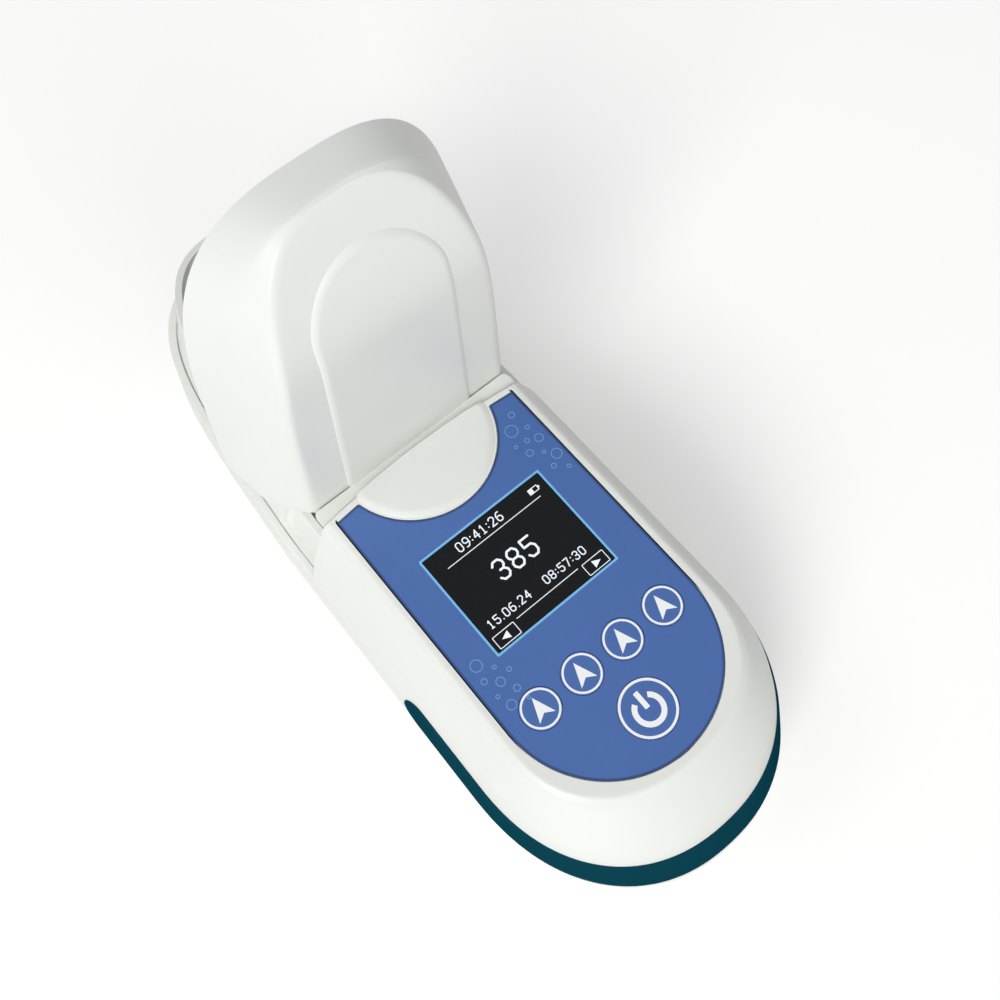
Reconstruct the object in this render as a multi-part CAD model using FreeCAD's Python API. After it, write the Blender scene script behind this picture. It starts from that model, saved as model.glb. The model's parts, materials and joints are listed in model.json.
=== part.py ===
import FreeCAD, Part
import math
import os

from FreeCAD import Vector

os.makedirs("parts", exist_ok=True)

# Portable turbidity meter with a flip-up light shield over the sample well.
# Millimetres. X runs across the meter, Y runs back from the user's end and Z is up.
# The origin lies on the table, midway between the front and rear ends; distances along
# the meter are given from a drawing zero and moved there when the pieces are written.

# Overall form
PANEL_Z = 72.0          # display panel above the table
RIM_Z = 45.0            # parting plane between the base and everything above it
CREASE_DROP = 14.7      # soft crease of the sides below the panel
FOOT_PROUD = 1.5        # feet below the base
FRONT_CENTRE_Y = -69.3  # where the straight sides meet the rounded front
REAR_START_Y = 22.9     # where the rounded rear outline starts
SIDE_TAPER = 1.4        # loss of half width from the front centre to the rear start
FRONT_POWER = 2.2       # fullness of the front curve
REAR_POWER = 5.0        # squareness of the rear curve along the meter
REAR_ROUND = 2.8        # squareness of the rear curve across it

# Outline at the panel, the crease, the rim, the belly, the chine and the bottom:
# half width, front end, taper of the rear per millimetre, rear end
PANEL_HALF = 34.9
PANEL_FRONT = -100.0
PANEL_REAR_TAPER = 0.05
PANEL_REAR = 113.2
CREASE_HALF = 41.2
CREASE_FRONT = -112.6
CREASE_REAR_TAPER = 0.09
CREASE_REAR = 118.2
RIM_HALF = 44.7
RIM_FRONT = -118.0
RIM_REAR_TAPER = 0.07
RIM_REAR = 116.4
BELLY_Z = 31.0
BELLY_SIDE_SWELL = 1.4
BELLY_FRONT_SWELL = 5.4  # the bow of the base stands out under the parting plane
BELLY_REAR_SWELL = 0.4
CHINE_Z = 12.0
CHINE_INSET = 3.4
CHINE_FRONT_INSET = 5.4   # from the belly's front end
BOTTOM_INSET = 10.5     # at the two ends; the sides clear the battery holder
TOP_EDGE = 1.0          # broken edge round the panel and the lid

# Walls and clearances
WALL = 2.4
SEAT_GAP = 0.2          # between pieces that are assembled and then stay put
RUN_GAP = 0.4           # between the lid and what it passes
LID_RIM_GAP = 0.3       # lid above the base rim when it is shut

# Flip-up lid and its hinge
HINGE_Y = 19.1
HINGE_DROP = 3.8        # hinge axis below the panel
OPEN_ANGLE = 90.0
CHEEK_FRONT_Y = 10.9    # front edge of the lid's side cheeks when shut
CHEEK_TOP_DROP = 10.0   # where the cheek's sloping edge ends below the panel
LID_DROOP_START_Y = 80.0
LID_DROOP = 6.0         # fall of the lid's top at its far end
LINER_WALL = 1.2
PIN_RADIUS = 1.0
PIN_LENGTH = 12.0
PIN_RUN_GAP = 0.06
LUG_RADIUS = 2.3
LUG_WIDTH = 5.0
LUG_X = 26.5
BARREL_INSET = 0.6      # end of the barrel inside the panel's edge
CROWN_RUN = 8.0         # level run of the lid's top at its far end
CROWN_NOSE = 4.0        # fall of the top line over the far end

# Raised arch that runs from the panel on to the lid
ARCH_HALF = 21.0
ARCH_TIP_HALF = 18.0
ARCH_CENTRE_Y = 14.0
ARCH_END_Y = 108.0
ARCH_PROUD = 0.7

# Step behind the panel
STEP_Y = 11.8           # on the centre line
STEP_SIDE_Y = 9.4       # at the panel's side edge

# Panel overlay, display and keys
DISPLAY_Y = -31.5
FRAME_WIDTH = 42.0
FRAME_HEIGHT = 33.6
FRAME_LINE = 0.8
OVERLAY_THICK = 0.5
OVERLAY_HALF = 31.1
OVERLAY_TAPER = 0.0095
OVERLAY_REAR_Y = 7.7
OVERLAY_REAR_CORNER_Y = 8.5
OVERLAY_NOTCH = 23.6
LCD_GLASS_WIDTH = 36.0
LCD_GLASS_HEIGHT = 29.0
LCD_BODY_WIDTH = 45.0
LCD_BODY_HEIGHT = 37.0
KEY_ROW_Y = -65.0
KEY_PITCH = 14.0
KEY_COUNT = 4
KEY_RADIUS = 5.6
POWER_KEY_Y = -82.4
POWER_KEY_RADIUS = 7.9
KEY_GAP = 0.15
KEY_TRAVEL = 0.4
KEY_STEM_RADIUS = 1.6
KEY_STEM_LENGTH = 2.5
SWITCH_SIZE = 6.0
SWITCH_BUTTON_RADIUS = 1.7
SWITCH_BUTTON = 1.0

# Main board
BOARD_TOP_Z = 64.0
BOARD_THICK = 1.6
BOARD_HALF = 29.0
BOARD_FRONT_Y = -88.0
BOARD_REAR_Y = -5.0
BOARD_SCREW_X = 25.0
BOARD_SCREW_FRONT_Y = -84.0
BOARD_SCREW_REAR_Y = -10.0
BOARD_SCREW_LENGTH = 5.0

# Trim strip round the front
TRIM_END_Y = -35.7
TRIM_ABOVE = 4.0        # reach above the parting plane
TRIM_BELOW = 10.0       # reach below it
TRIM_SEAT = 1.3         # depth of its groove
TRIM_PROUD = 0.5

# Sample deck and light trap
DECK_THICK = 2.4
TRAP_TOP_Z = 58.0
TRAP_WALL = 2.0
TRAP_LAP = 0.2          # overlap of the wall's front stretch with the rest
BLOCK_HALF = 32.0
BLOCK_REAR_Y = 24.5
BLOCK_TOP_Z = 62.6

# Optical block and sample well, for a 25 mm round cell that is 60 mm tall
WELL_Y = 70.0
WELL_RADIUS = 12.75
WELL_FLOOR_Z = 5.5
COLLAR_RADIUS = 17.0
COLLAR_TOP_Z = 51.0
OPTIC_HALF = 20.0
OPTIC_TOP_Z = 41.0
BEAM_Z = 27.0
BEAM_RADIUS = 2.5
LED_RADIUS = 2.5
LED_LENGTH = 7.0
LENS_RADIUS = 3.4
LENS_THICK = 2.0
LENS_WALL = 1.0         # between the well and the lens
LED_LENS_GAP = 0.6
LED_FLANGE = 1.2
LAMP_SLEEVE_RADIUS = 5.4
DETECTOR_RADIUS = 4.2
DETECTOR_LENGTH = 4.0
SENSOR_BOARD_HALF = 10.0
SEAL_WIDTH = 2.0
SEAL_HEIGHT = 2.4

# Batteries
CELL_RADIUS = 7.1
CELL_LENGTH = 49.2
CELL_NUB_RADIUS = 2.6
CELL_NUB = 1.3
CELL_COUNT = 4
CELL_PITCH = 14.8
BATTERY_Y = -36.0
HOLDER_WALL = 1.4
CONTACT_RADIUS = 3.0
CONTACT_LENGTH = 2.75
GRIP_COUNT = 5
GRIP_PITCH = 2.4
GRIP_HALF = 12.0
GRIP_MARGIN = 4.0
GRIP_DEPTH = 0.7

# Screws and feet
CASE_SCREW_RADIUS = 1.5
CASE_SCREW_HEAD = 2.7
CASE_SCREW_HEAD_HEIGHT = 2.0
CASE_SCREW_Z = 30.0     # underside of the screw head's seat
CASE_SCREW_LENGTH = 24.0
CASE_BOSS_RADIUS = 4.6
CASE_SCREW_FRONT_X = 18.0
CASE_SCREW_FRONT_Y = -94.5
CASE_SCREW_REAR_X = 27.0
CASE_SCREW_REAR_Y = 1.0
DECK_SCREW_RADIUS = 1.25
DECK_SCREW_HEAD = 2.4
DECK_SCREW_HEAD_HEIGHT = 1.5
DECK_SCREW_LENGTH = 9.0
DECK_SCREW_FRONT_INSET = 14.7   # from the rim's widest half width
DECK_SCREW_FRONT_Y = 36.0
DECK_SCREW_REAR_SHARE = 0.537   # of the rim's widest half width, as the rear narrows
DECK_SCREW_REAR_Y = 98.0
SMALL_BOSS_RADIUS = 3.2
FOOT_RADIUS = 5.0
FOOT_SEAT = 0.6
FOOT_X = 20.0
FOOT_FRONT_Y = -76.0
FOOT_REAR_Y = 88.0

# What follows from them
CREASE_Z = PANEL_Z - CREASE_DROP
HINGE_Z = PANEL_Z - HINGE_DROP
BARREL_RADIUS = HINGE_DROP
FLOOR_Z = FOOT_PROUD + WALL
OVERLAY_Z = PANEL_Z - OVERLAY_THICK
ROOF_Z = PANEL_Z - WALL
DECK_Z = RIM_Z
MIDWAY_SHIFT = (BELLY_FRONT_SWELL - BELLY_REAR_SWELL - RIM_FRONT - RIM_REAR) / 2
DECK_SCREW_FRONT_X = RIM_HALF - DECK_SCREW_FRONT_INSET
DECK_SCREW_REAR_X = RIM_HALF * DECK_SCREW_REAR_SHARE
DOOR_HALF_X = CELL_COUNT * CELL_PITCH / 2 + RUN_GAP
DOOR_HALF_Y = (CELL_LENGTH + CELL_NUB) / 2 + CONTACT_LENGTH
BOTTOM_HALF = DOOR_HALF_X + HOLDER_WALL + RUN_GAP + WALL
REACH = 400.0           # larger than the meter, for cutting tools


def save(shape, node):
    """Write one sub-part as a STEP file, moved so that the origin is midway along."""
    shape.translated(Vector(0, MIDWAY_SHIFT, 0)).exportStep("parts/" + node + ".step")


def box(x0, x1, y0, y1, z0, z1):
    """Block between two corners."""
    return Part.makeBox(x1 - x0, y1 - y0, z1 - z0, Vector(x0, y0, z0))


def rod(radius, z0, z1, x, y):
    """Upright cylinder between two heights."""
    return Part.makeCylinder(radius, z1 - z0, Vector(x, y, z0))


def both_sides(shape):
    """The shape and its mirror image across the middle plane, as one group."""
    return Part.makeCompound([shape, shape.mirror(Vector(0, 0, 0), Vector(1, 0, 0))])


def mirror_fuse(shape):
    """The shape and its mirror image joined into one tool."""
    return shape.fuse(shape.mirror(Vector(0, 0, 0), Vector(1, 0, 0)))


def blend(a, b, t):
    """Value between a and b."""
    return a + (b - a) * t


# Outline values at each level, from the table up
LEVELS = [
    (FOOT_PROUD, BOTTOM_HALF, RIM_FRONT + BOTTOM_INSET, RIM_REAR_TAPER, RIM_REAR - BOTTOM_INSET),
    (CHINE_Z, RIM_HALF - CHINE_INSET, RIM_FRONT - BELLY_FRONT_SWELL + CHINE_FRONT_INSET,
     RIM_REAR_TAPER, RIM_REAR - CHINE_INSET),
    (BELLY_Z, RIM_HALF + BELLY_SIDE_SWELL, RIM_FRONT - BELLY_FRONT_SWELL,
     RIM_REAR_TAPER, RIM_REAR + BELLY_REAR_SWELL),
    (RIM_Z, RIM_HALF, RIM_FRONT, RIM_REAR_TAPER, RIM_REAR),
    (CREASE_Z, CREASE_HALF, CREASE_FRONT, CREASE_REAR_TAPER, CREASE_REAR),
    (PANEL_Z, PANEL_HALF, PANEL_FRONT, PANEL_REAR_TAPER, PANEL_REAR),
]


def outline_values(z):
    """Half width, front end, rear taper and rear end of the body at a height."""
    for low, high in zip(LEVELS, LEVELS[1:]):
        if z <= high[0]:
            t = (z - low[0]) / (high[0] - low[0])
            return [blend(a, b, t) for a, b in zip(low[1:], high[1:])]
    return list(LEVELS[-1][1:])


def outline(z, inset=0.0):
    """Closed outline of the body at a height, moved inwards by the inset."""
    half, front, taper, rear = outline_values(z)
    half -= inset
    front += inset
    rear -= inset
    right = []
    for i in range(11):
        a = math.radians(9.0 * i)
        x = half * math.sin(a) ** (2 / FRONT_POWER)
        y = FRONT_CENTRE_Y + (front - FRONT_CENTRE_Y) * math.cos(a) ** (2 / FRONT_POWER)
        right.append((x, y))
    for i in range(1, 4):
        t = i / 4
        right.append((half - SIDE_TAPER * t, blend(FRONT_CENTRE_Y, REAR_START_Y, t)))
    length = rear - REAR_START_Y
    for share in (0.0, 0.2, 0.4, 0.55, 0.68, 0.79, 0.88, 0.945, 0.985, 1.0):
        run = share * length
        curve = (1 - share ** REAR_POWER) ** (1 / REAR_ROUND)
        right.append(((half - SIDE_TAPER - taper * run) * curve, REAR_START_Y + run))
    left = [(-x, y) for x, y in reversed(right[1:-1])]
    curve = Part.BSplineCurve()
    curve.interpolate([Vector(x, y, z) for x, y in right + left], PeriodicFlag=True)
    return Part.Wire(curve.toShape())


def body_between(z0, z1, inset=0.0):
    """Solid of the body's outline between two heights."""
    heights = [z0] + [level[0] for level in LEVELS if z0 + 0.01 < level[0] < z1 - 0.01] + [z1]
    return Part.makeLoft([outline(z, inset) for z in heights], True, True)


def top_body(inset=0.0):
    """Upper half of the whole meter, lid shut, with its broken top edge."""
    top = PANEL_Z - inset
    edge = top - TOP_EDGE
    lower = body_between(RIM_Z, edge, inset)
    cap = Part.makeLoft([outline(edge, inset), outline(top, inset + TOP_EDGE)], True, True)
    return lower.fuse(cap)


def side_prism(points, half):
    """Prism across the meter on a polygon seen from the side."""
    wire = Part.makePolygon([Vector(-half, y, z) for y, z in points + points[:1]])
    return Part.Face(wire).extrude(Vector(2 * half, 0, 0))


def step_region(offset=0.0):
    """Everything in front of the curved step behind the panel, less an offset."""
    sag = STEP_Y - STEP_SIDE_Y
    radius = (PANEL_HALF ** 2 + sag ** 2) / (2 * sag)
    return Part.makeCylinder(radius - offset, REACH, Vector(0, STEP_Y - radius, -REACH / 4))


def arch_prism(z0, z1, inset=0.0):
    """Long arch in plan: a round end on the panel and a slightly narrower end on the lid."""
    half = ARCH_HALF - inset
    tip = ARCH_TIP_HALF - inset
    crown_y = ARCH_END_Y - ARCH_TIP_HALF
    start = Part.Arc(Vector(-half, ARCH_CENTRE_Y, z0), Vector(0, ARCH_CENTRE_Y - half, z0),
                     Vector(half, ARCH_CENTRE_Y, z0)).toShape()
    right = Part.makeLine(Vector(half, ARCH_CENTRE_Y, z0), Vector(tip, crown_y, z0))
    end = Part.Arc(Vector(tip, crown_y, z0), Vector(0, crown_y + tip, z0),
                   Vector(-tip, crown_y, z0)).toShape()
    left = Part.makeLine(Vector(-tip, crown_y, z0), Vector(-half, ARCH_CENTRE_Y, z0))
    return Part.Face(Part.Wire([start, right, end, left])).extrude(Vector(0, 0, z1 - z0))


def overlay_prism(z0, z1, grow=0.0):
    """Panel overlay in plan: round front, tapered sides and a round notch at the back."""
    front_half = OVERLAY_HALF + OVERLAY_TAPER * (DISPLAY_Y - KEY_ROW_Y) + grow
    rear_half = OVERLAY_HALF - OVERLAY_TAPER * (OVERLAY_REAR_Y - DISPLAY_Y) + grow
    rear_y = OVERLAY_REAR_Y + grow
    corner_y = OVERLAY_REAR_CORNER_Y + grow
    tip = Vector(0, KEY_ROW_Y - front_half, z0)
    left_front = Vector(-front_half, KEY_ROW_Y, z0)
    right_front = Vector(front_half, KEY_ROW_Y, z0)
    left_rear = Vector(-rear_half, rear_y, z0)
    right_rear = Vector(rear_half, rear_y, z0)
    edges = [
        Part.Arc(left_front, tip, right_front).toShape(),
        Part.makeLine(right_front, right_rear),
        Part.Arc(right_rear, Vector(0, corner_y + (corner_y - rear_y), z0), left_rear).toShape(),
        Part.makeLine(left_rear, left_front),
    ]
    plate = Part.Face(Part.Wire(edges)).extrude(Vector(0, 0, z1 - z0))
    notch = rod(OVERLAY_NOTCH - grow, z0 - 1, z1 + 1, 0, ARCH_CENTRE_Y)
    return plate.cut(notch)


def display_block(width, height, z0, z1):
    """Block centred on the display."""
    return box(-width / 2, width / 2, DISPLAY_Y - height / 2, DISPLAY_Y + height / 2, z0, z1)


KEYS = [(KEY_PITCH * (i - (KEY_COUNT - 1) / 2), KEY_ROW_Y, KEY_RADIUS) for i in range(KEY_COUNT)]
KEYS.append((0.0, POWER_KEY_Y, POWER_KEY_RADIUS))
KEY_NODES = ["left_key", "centre_left_key", "centre_right_key", "right_key", "power_key"]

case_screw_places = [(x, y) for x, y in (
    (-CASE_SCREW_FRONT_X, CASE_SCREW_FRONT_Y), (CASE_SCREW_FRONT_X, CASE_SCREW_FRONT_Y),
    (-CASE_SCREW_REAR_X, CASE_SCREW_REAR_Y), (CASE_SCREW_REAR_X, CASE_SCREW_REAR_Y))]
deck_screw_places = [(x, y) for x, y in (
    (-DECK_SCREW_FRONT_X, DECK_SCREW_FRONT_Y), (DECK_SCREW_FRONT_X, DECK_SCREW_FRONT_Y),
    (-DECK_SCREW_REAR_X, DECK_SCREW_REAR_Y), (DECK_SCREW_REAR_X, DECK_SCREW_REAR_Y))]
board_screw_places = [(x, y) for x in (-BOARD_SCREW_X, BOARD_SCREW_X)
                      for y in (BOARD_SCREW_FRONT_Y, BOARD_SCREW_REAR_Y)]
foot_places = [(x, y) for x in (-FOOT_X, FOOT_X) for y in (FOOT_FRONT_Y, FOOT_REAR_Y)]

# Trim strip: a band that wraps the front of the body and crosses the parting plane,
# with rounded ends, seated in a groove of both shells
trim_low = RIM_Z - TRIM_BELOW
trim_high = RIM_Z + TRIM_ABOVE
trim_radius = (trim_high - trim_low) / 2
trim_window = box(-REACH, REACH, -REACH, TRIM_END_Y - trim_radius, trim_low, trim_high)
trim_window = trim_window.fuse(Part.makeCylinder(
    trim_radius, 2 * REACH, Vector(-REACH, TRIM_END_Y - trim_radius, (trim_low + trim_high) / 2),
    Vector(1, 0, 0)))
trim_core = body_between(trim_low - 1, trim_high + 1, TRIM_SEAT)
trim_groove = trim_window.cut(trim_core)
trim_outer = body_between(trim_low - 1, trim_high + 1, -TRIM_PROUD)
save(trim_outer.cut(trim_core).common(trim_window), "trim_strip")

# Upper shell: the moulded cover of the display end, open below, closed by a wall at
# the step, with seats for the overlay, the keys and the display
inner_top = body_between(RIM_Z - 1, ROOF_Z, WALL)
shell = top_body().common(step_region())
raised = arch_prism(PANEL_Z - 0.2, PANEL_Z + ARCH_PROUD).common(step_region())
shell = shell.fuse(raised)
shell = shell.cut(inner_top.common(step_region(WALL)))
for x, y, radius in KEYS:
    shell = shell.cut(rod(radius + KEY_GAP, OVERLAY_Z - KEY_TRAVEL - KEY_GAP, PANEL_Z + 1, x, y))
    shell = shell.cut(rod(KEY_STEM_RADIUS + KEY_GAP, ROOF_Z - 1, PANEL_Z, x, y))
shell = shell.cut(overlay_prism(OVERLAY_Z, PANEL_Z + 2))
shell = shell.cut(display_block(LCD_GLASS_WIDTH + 2 * SEAT_GAP, LCD_GLASS_HEIGHT + 2 * SEAT_GAP,
                                ROOF_Z - 1, PANEL_Z + 1))
for x, y in case_screw_places:
    post = rod(CASE_BOSS_RADIUS, RIM_Z, ROOF_Z + 0.1, x, y).common(top_body(WALL / 2))
    shell = shell.fuse(post)
    shell = shell.cut(rod(CASE_SCREW_RADIUS, RIM_Z - 1, CASE_SCREW_Z + CASE_SCREW_LENGTH + 1, x, y))
for x, y in board_screw_places:
    shell = shell.fuse(rod(SMALL_BOSS_RADIUS, BOARD_TOP_Z, ROOF_Z + 0.1, x, y))
    shell = shell.cut(rod(DECK_SCREW_RADIUS, BOARD_TOP_Z - 1, ROOF_Z, x, y))
shell = shell.cut(trim_groove)
save(shell, "upper_shell")

# Base shell: the tub under everything, rounded at the bottom, with the battery opening,
# and screw posts that rise from its floor to the cover and the deck
base = body_between(FOOT_PROUD, RIM_Z).cut(body_between(FLOOR_Z, RIM_Z + 1, WALL))
post_limit = body_between(FOOT_PROUD, RIM_Z, WALL / 2)
for x, y in case_screw_places:
    base = base.fuse(rod(CASE_BOSS_RADIUS, FOOT_PROUD, RIM_Z, x, y).common(post_limit))
    base = base.cut(rod(CASE_SCREW_RADIUS + SEAT_GAP, FOOT_PROUD - 1, RIM_Z + 1, x, y))
    base = base.cut(rod(CASE_SCREW_HEAD + SEAT_GAP, FOOT_PROUD - 1, CASE_SCREW_Z, x, y))
for x, y in deck_screw_places:
    post = rod(SMALL_BOSS_RADIUS, FLOOR_Z - WALL / 2, DECK_Z - DECK_THICK, x, y)
    base = base.fuse(post.common(post_limit))
    base = base.cut(rod(DECK_SCREW_RADIUS, DECK_Z - DECK_SCREW_LENGTH - 1, RIM_Z, x, y))
base = base.cut(box(-DOOR_HALF_X, DOOR_HALF_X, BATTERY_Y - DOOR_HALF_Y, BATTERY_Y + DOOR_HALF_Y,
                    FOOT_PROUD - 1, FLOOR_Z + 0.5))
for x, y in foot_places:
    base = base.cut(rod(FOOT_RADIUS, FOOT_PROUD - 1, FOOT_PROUD + FOOT_SEAT, x, y))
base = base.cut(trim_groove)
save(base, "base_shell")

# Panel overlay: a printed film in a shallow seat, cut out for the display and the keys
overlay = overlay_prism(OVERLAY_Z, PANEL_Z, -SEAT_GAP / 2)
window_width = FRAME_WIDTH - 2 * FRAME_LINE
window_height = FRAME_HEIGHT - 2 * FRAME_LINE
overlay = overlay.cut(display_block(window_width, window_height, OVERLAY_Z - 1, PANEL_Z + 1))
for x, y, radius in KEYS:
    overlay = overlay.cut(rod(radius + KEY_GAP, OVERLAY_Z - 1, PANEL_Z + 1, x, y))
save(overlay, "panel_overlay")

# Display window, flush with the overlay, and the display module under it
window = display_block(window_width - SEAT_GAP, window_height - SEAT_GAP, OVERLAY_Z, PANEL_Z)
save(window, "display_window")
display = display_block(LCD_BODY_WIDTH, LCD_BODY_HEIGHT, BOARD_TOP_Z, ROOF_Z)
display = display.fuse(display_block(LCD_GLASS_WIDTH, LCD_GLASS_HEIGHT, ROOF_Z, OVERLAY_Z))
save(display, "display_module")

# Keys: flat discs flush with the overlay, each on a short stem over its switch
for (x, y, radius), node in zip(KEYS, KEY_NODES):
    key = rod(radius, OVERLAY_Z, PANEL_Z, x, y)
    key = key.fuse(rod(KEY_STEM_RADIUS, OVERLAY_Z - KEY_STEM_LENGTH, OVERLAY_Z, x, y))
    save(key, node)

# Switches: a square body and a round button under each key
switch_top = OVERLAY_Z - KEY_STEM_LENGTH - KEY_TRAVEL - KEY_GAP
switches = []
for x, y, radius in KEYS:
    body = box(x - SWITCH_SIZE / 2, x + SWITCH_SIZE / 2, y - SWITCH_SIZE / 2, y + SWITCH_SIZE / 2,
               BOARD_TOP_Z, switch_top - SWITCH_BUTTON)
    switches.append(body.fuse(rod(SWITCH_BUTTON_RADIUS, switch_top - SWITCH_BUTTON, switch_top, x, y)))
save(Part.makeCompound(switches), "key_switches")

# Main board, screwed to the bosses under the panel
board_low_z = BOARD_TOP_Z - BOARD_THICK
board = box(-BOARD_HALF, BOARD_HALF, BOARD_FRONT_Y, BOARD_REAR_Y, board_low_z, BOARD_TOP_Z)
for x, y in board_screw_places:
    board = board.cut(rod(DECK_SCREW_RADIUS + SEAT_GAP, board_low_z - 1, BOARD_TOP_Z + 1, x, y))
save(board, "main_board")


def screw(radius, length, head, head_height, x, y, seat_z, up):
    """Pan-head screw whose head bears on a seat; up is 1 where the shank points up."""
    z0, z1 = sorted((seat_z, seat_z + up * length))
    h0, h1 = sorted((seat_z, seat_z - up * head_height))
    body = rod(radius, z0, z1, x, y).fuse(rod(head, h0, h1, x, y))
    slot_z = seat_z - up * head_height
    s0, s1 = sorted((slot_z, slot_z + up * head_height / 2))
    for turn in (0, 90):
        slot = box(-head * 0.6, head * 0.6, -head / 8, head / 8, s0, s1)
        slot.rotate(Vector(0, 0, 0), Vector(0, 0, 1), turn)
        slot.translate(Vector(x, y, 0))
        body = body.cut(slot)
    return body


save(Part.makeCompound([screw(DECK_SCREW_RADIUS, BOARD_SCREW_LENGTH, DECK_SCREW_HEAD,
                              DECK_SCREW_HEAD_HEIGHT, x, y, board_low_z, 1)
                        for x, y in board_screw_places]), "board_screws")
save(Part.makeCompound([screw(CASE_SCREW_RADIUS, CASE_SCREW_LENGTH, CASE_SCREW_HEAD,
                              CASE_SCREW_HEAD_HEIGHT, x, y, CASE_SCREW_Z, 1)
                        for x, y in case_screw_places]), "case_screws")
save(Part.makeCompound([screw(DECK_SCREW_RADIUS, DECK_SCREW_LENGTH, DECK_SCREW_HEAD,
                              DECK_SCREW_HEAD_HEIGHT, x, y, DECK_Z, -1)
                        for x, y in deck_screw_places]), "deck_screws")

# Sample deck: the plate behind the step, the low light-trap wall that the shut lid drops
# over, the hinge block behind the step and the two hinge lugs on it. The front stretch of
# the wall stands further in, clear of the sweep of the lid's cheeks
deck_low_z = DECK_Z - DECK_THICK
sweep_rear_y = 2 * HINGE_Y - CHEEK_FRONT_Y + RUN_GAP


def trap_wall(inset, y0, y1):
    """Stretch of the light-trap wall between two distances along the meter."""
    wall = body_between(deck_low_z, TRAP_TOP_Z, inset)
    wall = wall.cut(body_between(deck_low_z - 1, TRAP_TOP_Z + 1, inset + TRAP_WALL))
    return wall.common(box(-REACH, REACH, y0, y1, -REACH, REACH))


behind_step = box(-REACH, REACH, -REACH, REACH, -REACH, REACH).cut(step_region(-SEAT_GAP))
trap_inset = WALL + RUN_GAP
deck = body_between(deck_low_z, DECK_Z, WALL + SEAT_GAP)
rear_trap = trap_wall(trap_inset, sweep_rear_y, REACH)
front_trap = trap_wall(trap_inset + TRAP_WALL - TRAP_LAP, -REACH, sweep_rear_y + TRAP_WALL)
block = box(-BLOCK_HALF, BLOCK_HALF, -REACH / 8, BLOCK_REAR_Y, deck_low_z, BLOCK_TOP_Z)
deck = deck.fuse([rear_trap, front_trap, block]).common(behind_step)
deck = deck.cut(box(-BLOCK_HALF + WALL, BLOCK_HALF - WALL, STEP_Y + WALL, BLOCK_REAR_Y - WALL,
                    deck_low_z - 1, BLOCK_TOP_Z - WALL))
for side in (-1, 1):
    lug_x0 = side * LUG_X - LUG_WIDTH / 2
    lug = Part.makeCylinder(LUG_RADIUS, LUG_WIDTH, Vector(lug_x0, HINGE_Y, HINGE_Z), Vector(1, 0, 0))
    stem = box(lug_x0, lug_x0 + LUG_WIDTH, HINGE_Y - LUG_RADIUS, HINGE_Y + LUG_RADIUS,
               BLOCK_TOP_Z - WALL, HINGE_Z)
    deck = deck.fuse([lug, stem])
    deck = deck.cut(Part.makeCylinder(PIN_RADIUS + PIN_RUN_GAP, LUG_WIDTH + 2,
                                      Vector(lug_x0 - 1, HINGE_Y, HINGE_Z), Vector(1, 0, 0)))
deck = deck.cut(rod(COLLAR_RADIUS + SEAT_GAP, deck_low_z - 1, DECK_Z + 1, 0, WELL_Y))
for x, y in deck_screw_places:
    deck = deck.cut(rod(DECK_SCREW_RADIUS + SEAT_GAP, deck_low_z - 1, DECK_Z + 1, x, y))
save(deck, "sample_deck")

# Lid: the flip-up light shield, modelled shut and then turned open about its hinge.
# Its top droops towards the far end, its barrel turns round the pins, and its cheeks
# reach forward beside the hinge block
crown_x = -REACH / 4
crown_low = PANEL_Z - LID_DROOP
crown_end_y = PANEL_REAR - CROWN_RUN
crown = Part.BSplineCurve()
crown.interpolate([
    Vector(crown_x, REACH / 2, RIM_Z - CREASE_DROP),
    Vector(crown_x, PANEL_REAR + CROWN_NOSE / 2, crown_low - CROWN_NOSE),
    Vector(crown_x, crown_end_y, crown_low),
    Vector(crown_x, blend(LID_DROOP_START_Y, crown_end_y, 0.5), PANEL_Z - LID_DROOP / 4),
    Vector(crown_x, LID_DROOP_START_Y, PANEL_Z),
], InitialTangent=Vector(0, -2, 1), FinalTangent=Vector(0, -1, 0))


def under_crown(rise):
    """Everything under the lid's top line, moved up by a rise."""
    far_low = Vector(crown_x, REACH / 2, 0)
    near_low = Vector(crown_x, -REACH / 2, 0)
    near_top = Vector(crown_x, -REACH / 2, PANEL_Z)
    edges = [
        crown.toShape(),
        Part.makeLine(Vector(crown_x, LID_DROOP_START_Y, PANEL_Z), near_top),
        Part.makeLine(near_top, near_low),
        Part.makeLine(near_low, far_low),
        Part.makeLine(far_low, Vector(crown_x, REACH / 2, RIM_Z - CREASE_DROP)),
    ]
    solid = Part.Face(Part.Wire(edges)).extrude(Vector(REACH / 2, 0, 0))
    solid.translate(Vector(0, 0, rise))
    return solid


lid_low = RIM_Z + LID_RIM_GAP
lid = top_body().common(under_crown(0))
lid = lid.fuse(arch_prism(crown_low - WALL, PANEL_Z + ARCH_PROUD).common(under_crown(ARCH_PROUD)))
lid = lid.cut(top_body(WALL).common(under_crown(-WALL)))
lid = lid.cut(box(-REACH, REACH, -REACH, REACH, -REACH, lid_low))
lid = lid.cut(side_prism([
    (-REACH, REACH), (-REACH, 0), (CHEEK_FRONT_Y, 0),
    (CHEEK_FRONT_Y, PANEL_Z - CHEEK_TOP_DROP), (HINGE_Y - BARREL_RADIUS, HINGE_Z),
    (HINGE_Y, HINGE_Z), (HINGE_Y, REACH)], REACH))
cheek_corner = side_prism([
    (0, 0), (HINGE_Y, 0), (HINGE_Y, HINGE_Z), (0, HINGE_Z)], REACH)
lid = lid.cut(cheek_corner.cut(Part.makeCylinder(
    HINGE_Z - lid_low, 2 * REACH, Vector(-REACH, HINGE_Y, HINGE_Z), Vector(1, 0, 0))))
barrel_half = PANEL_HALF - SIDE_TAPER - BARREL_INSET
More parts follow.
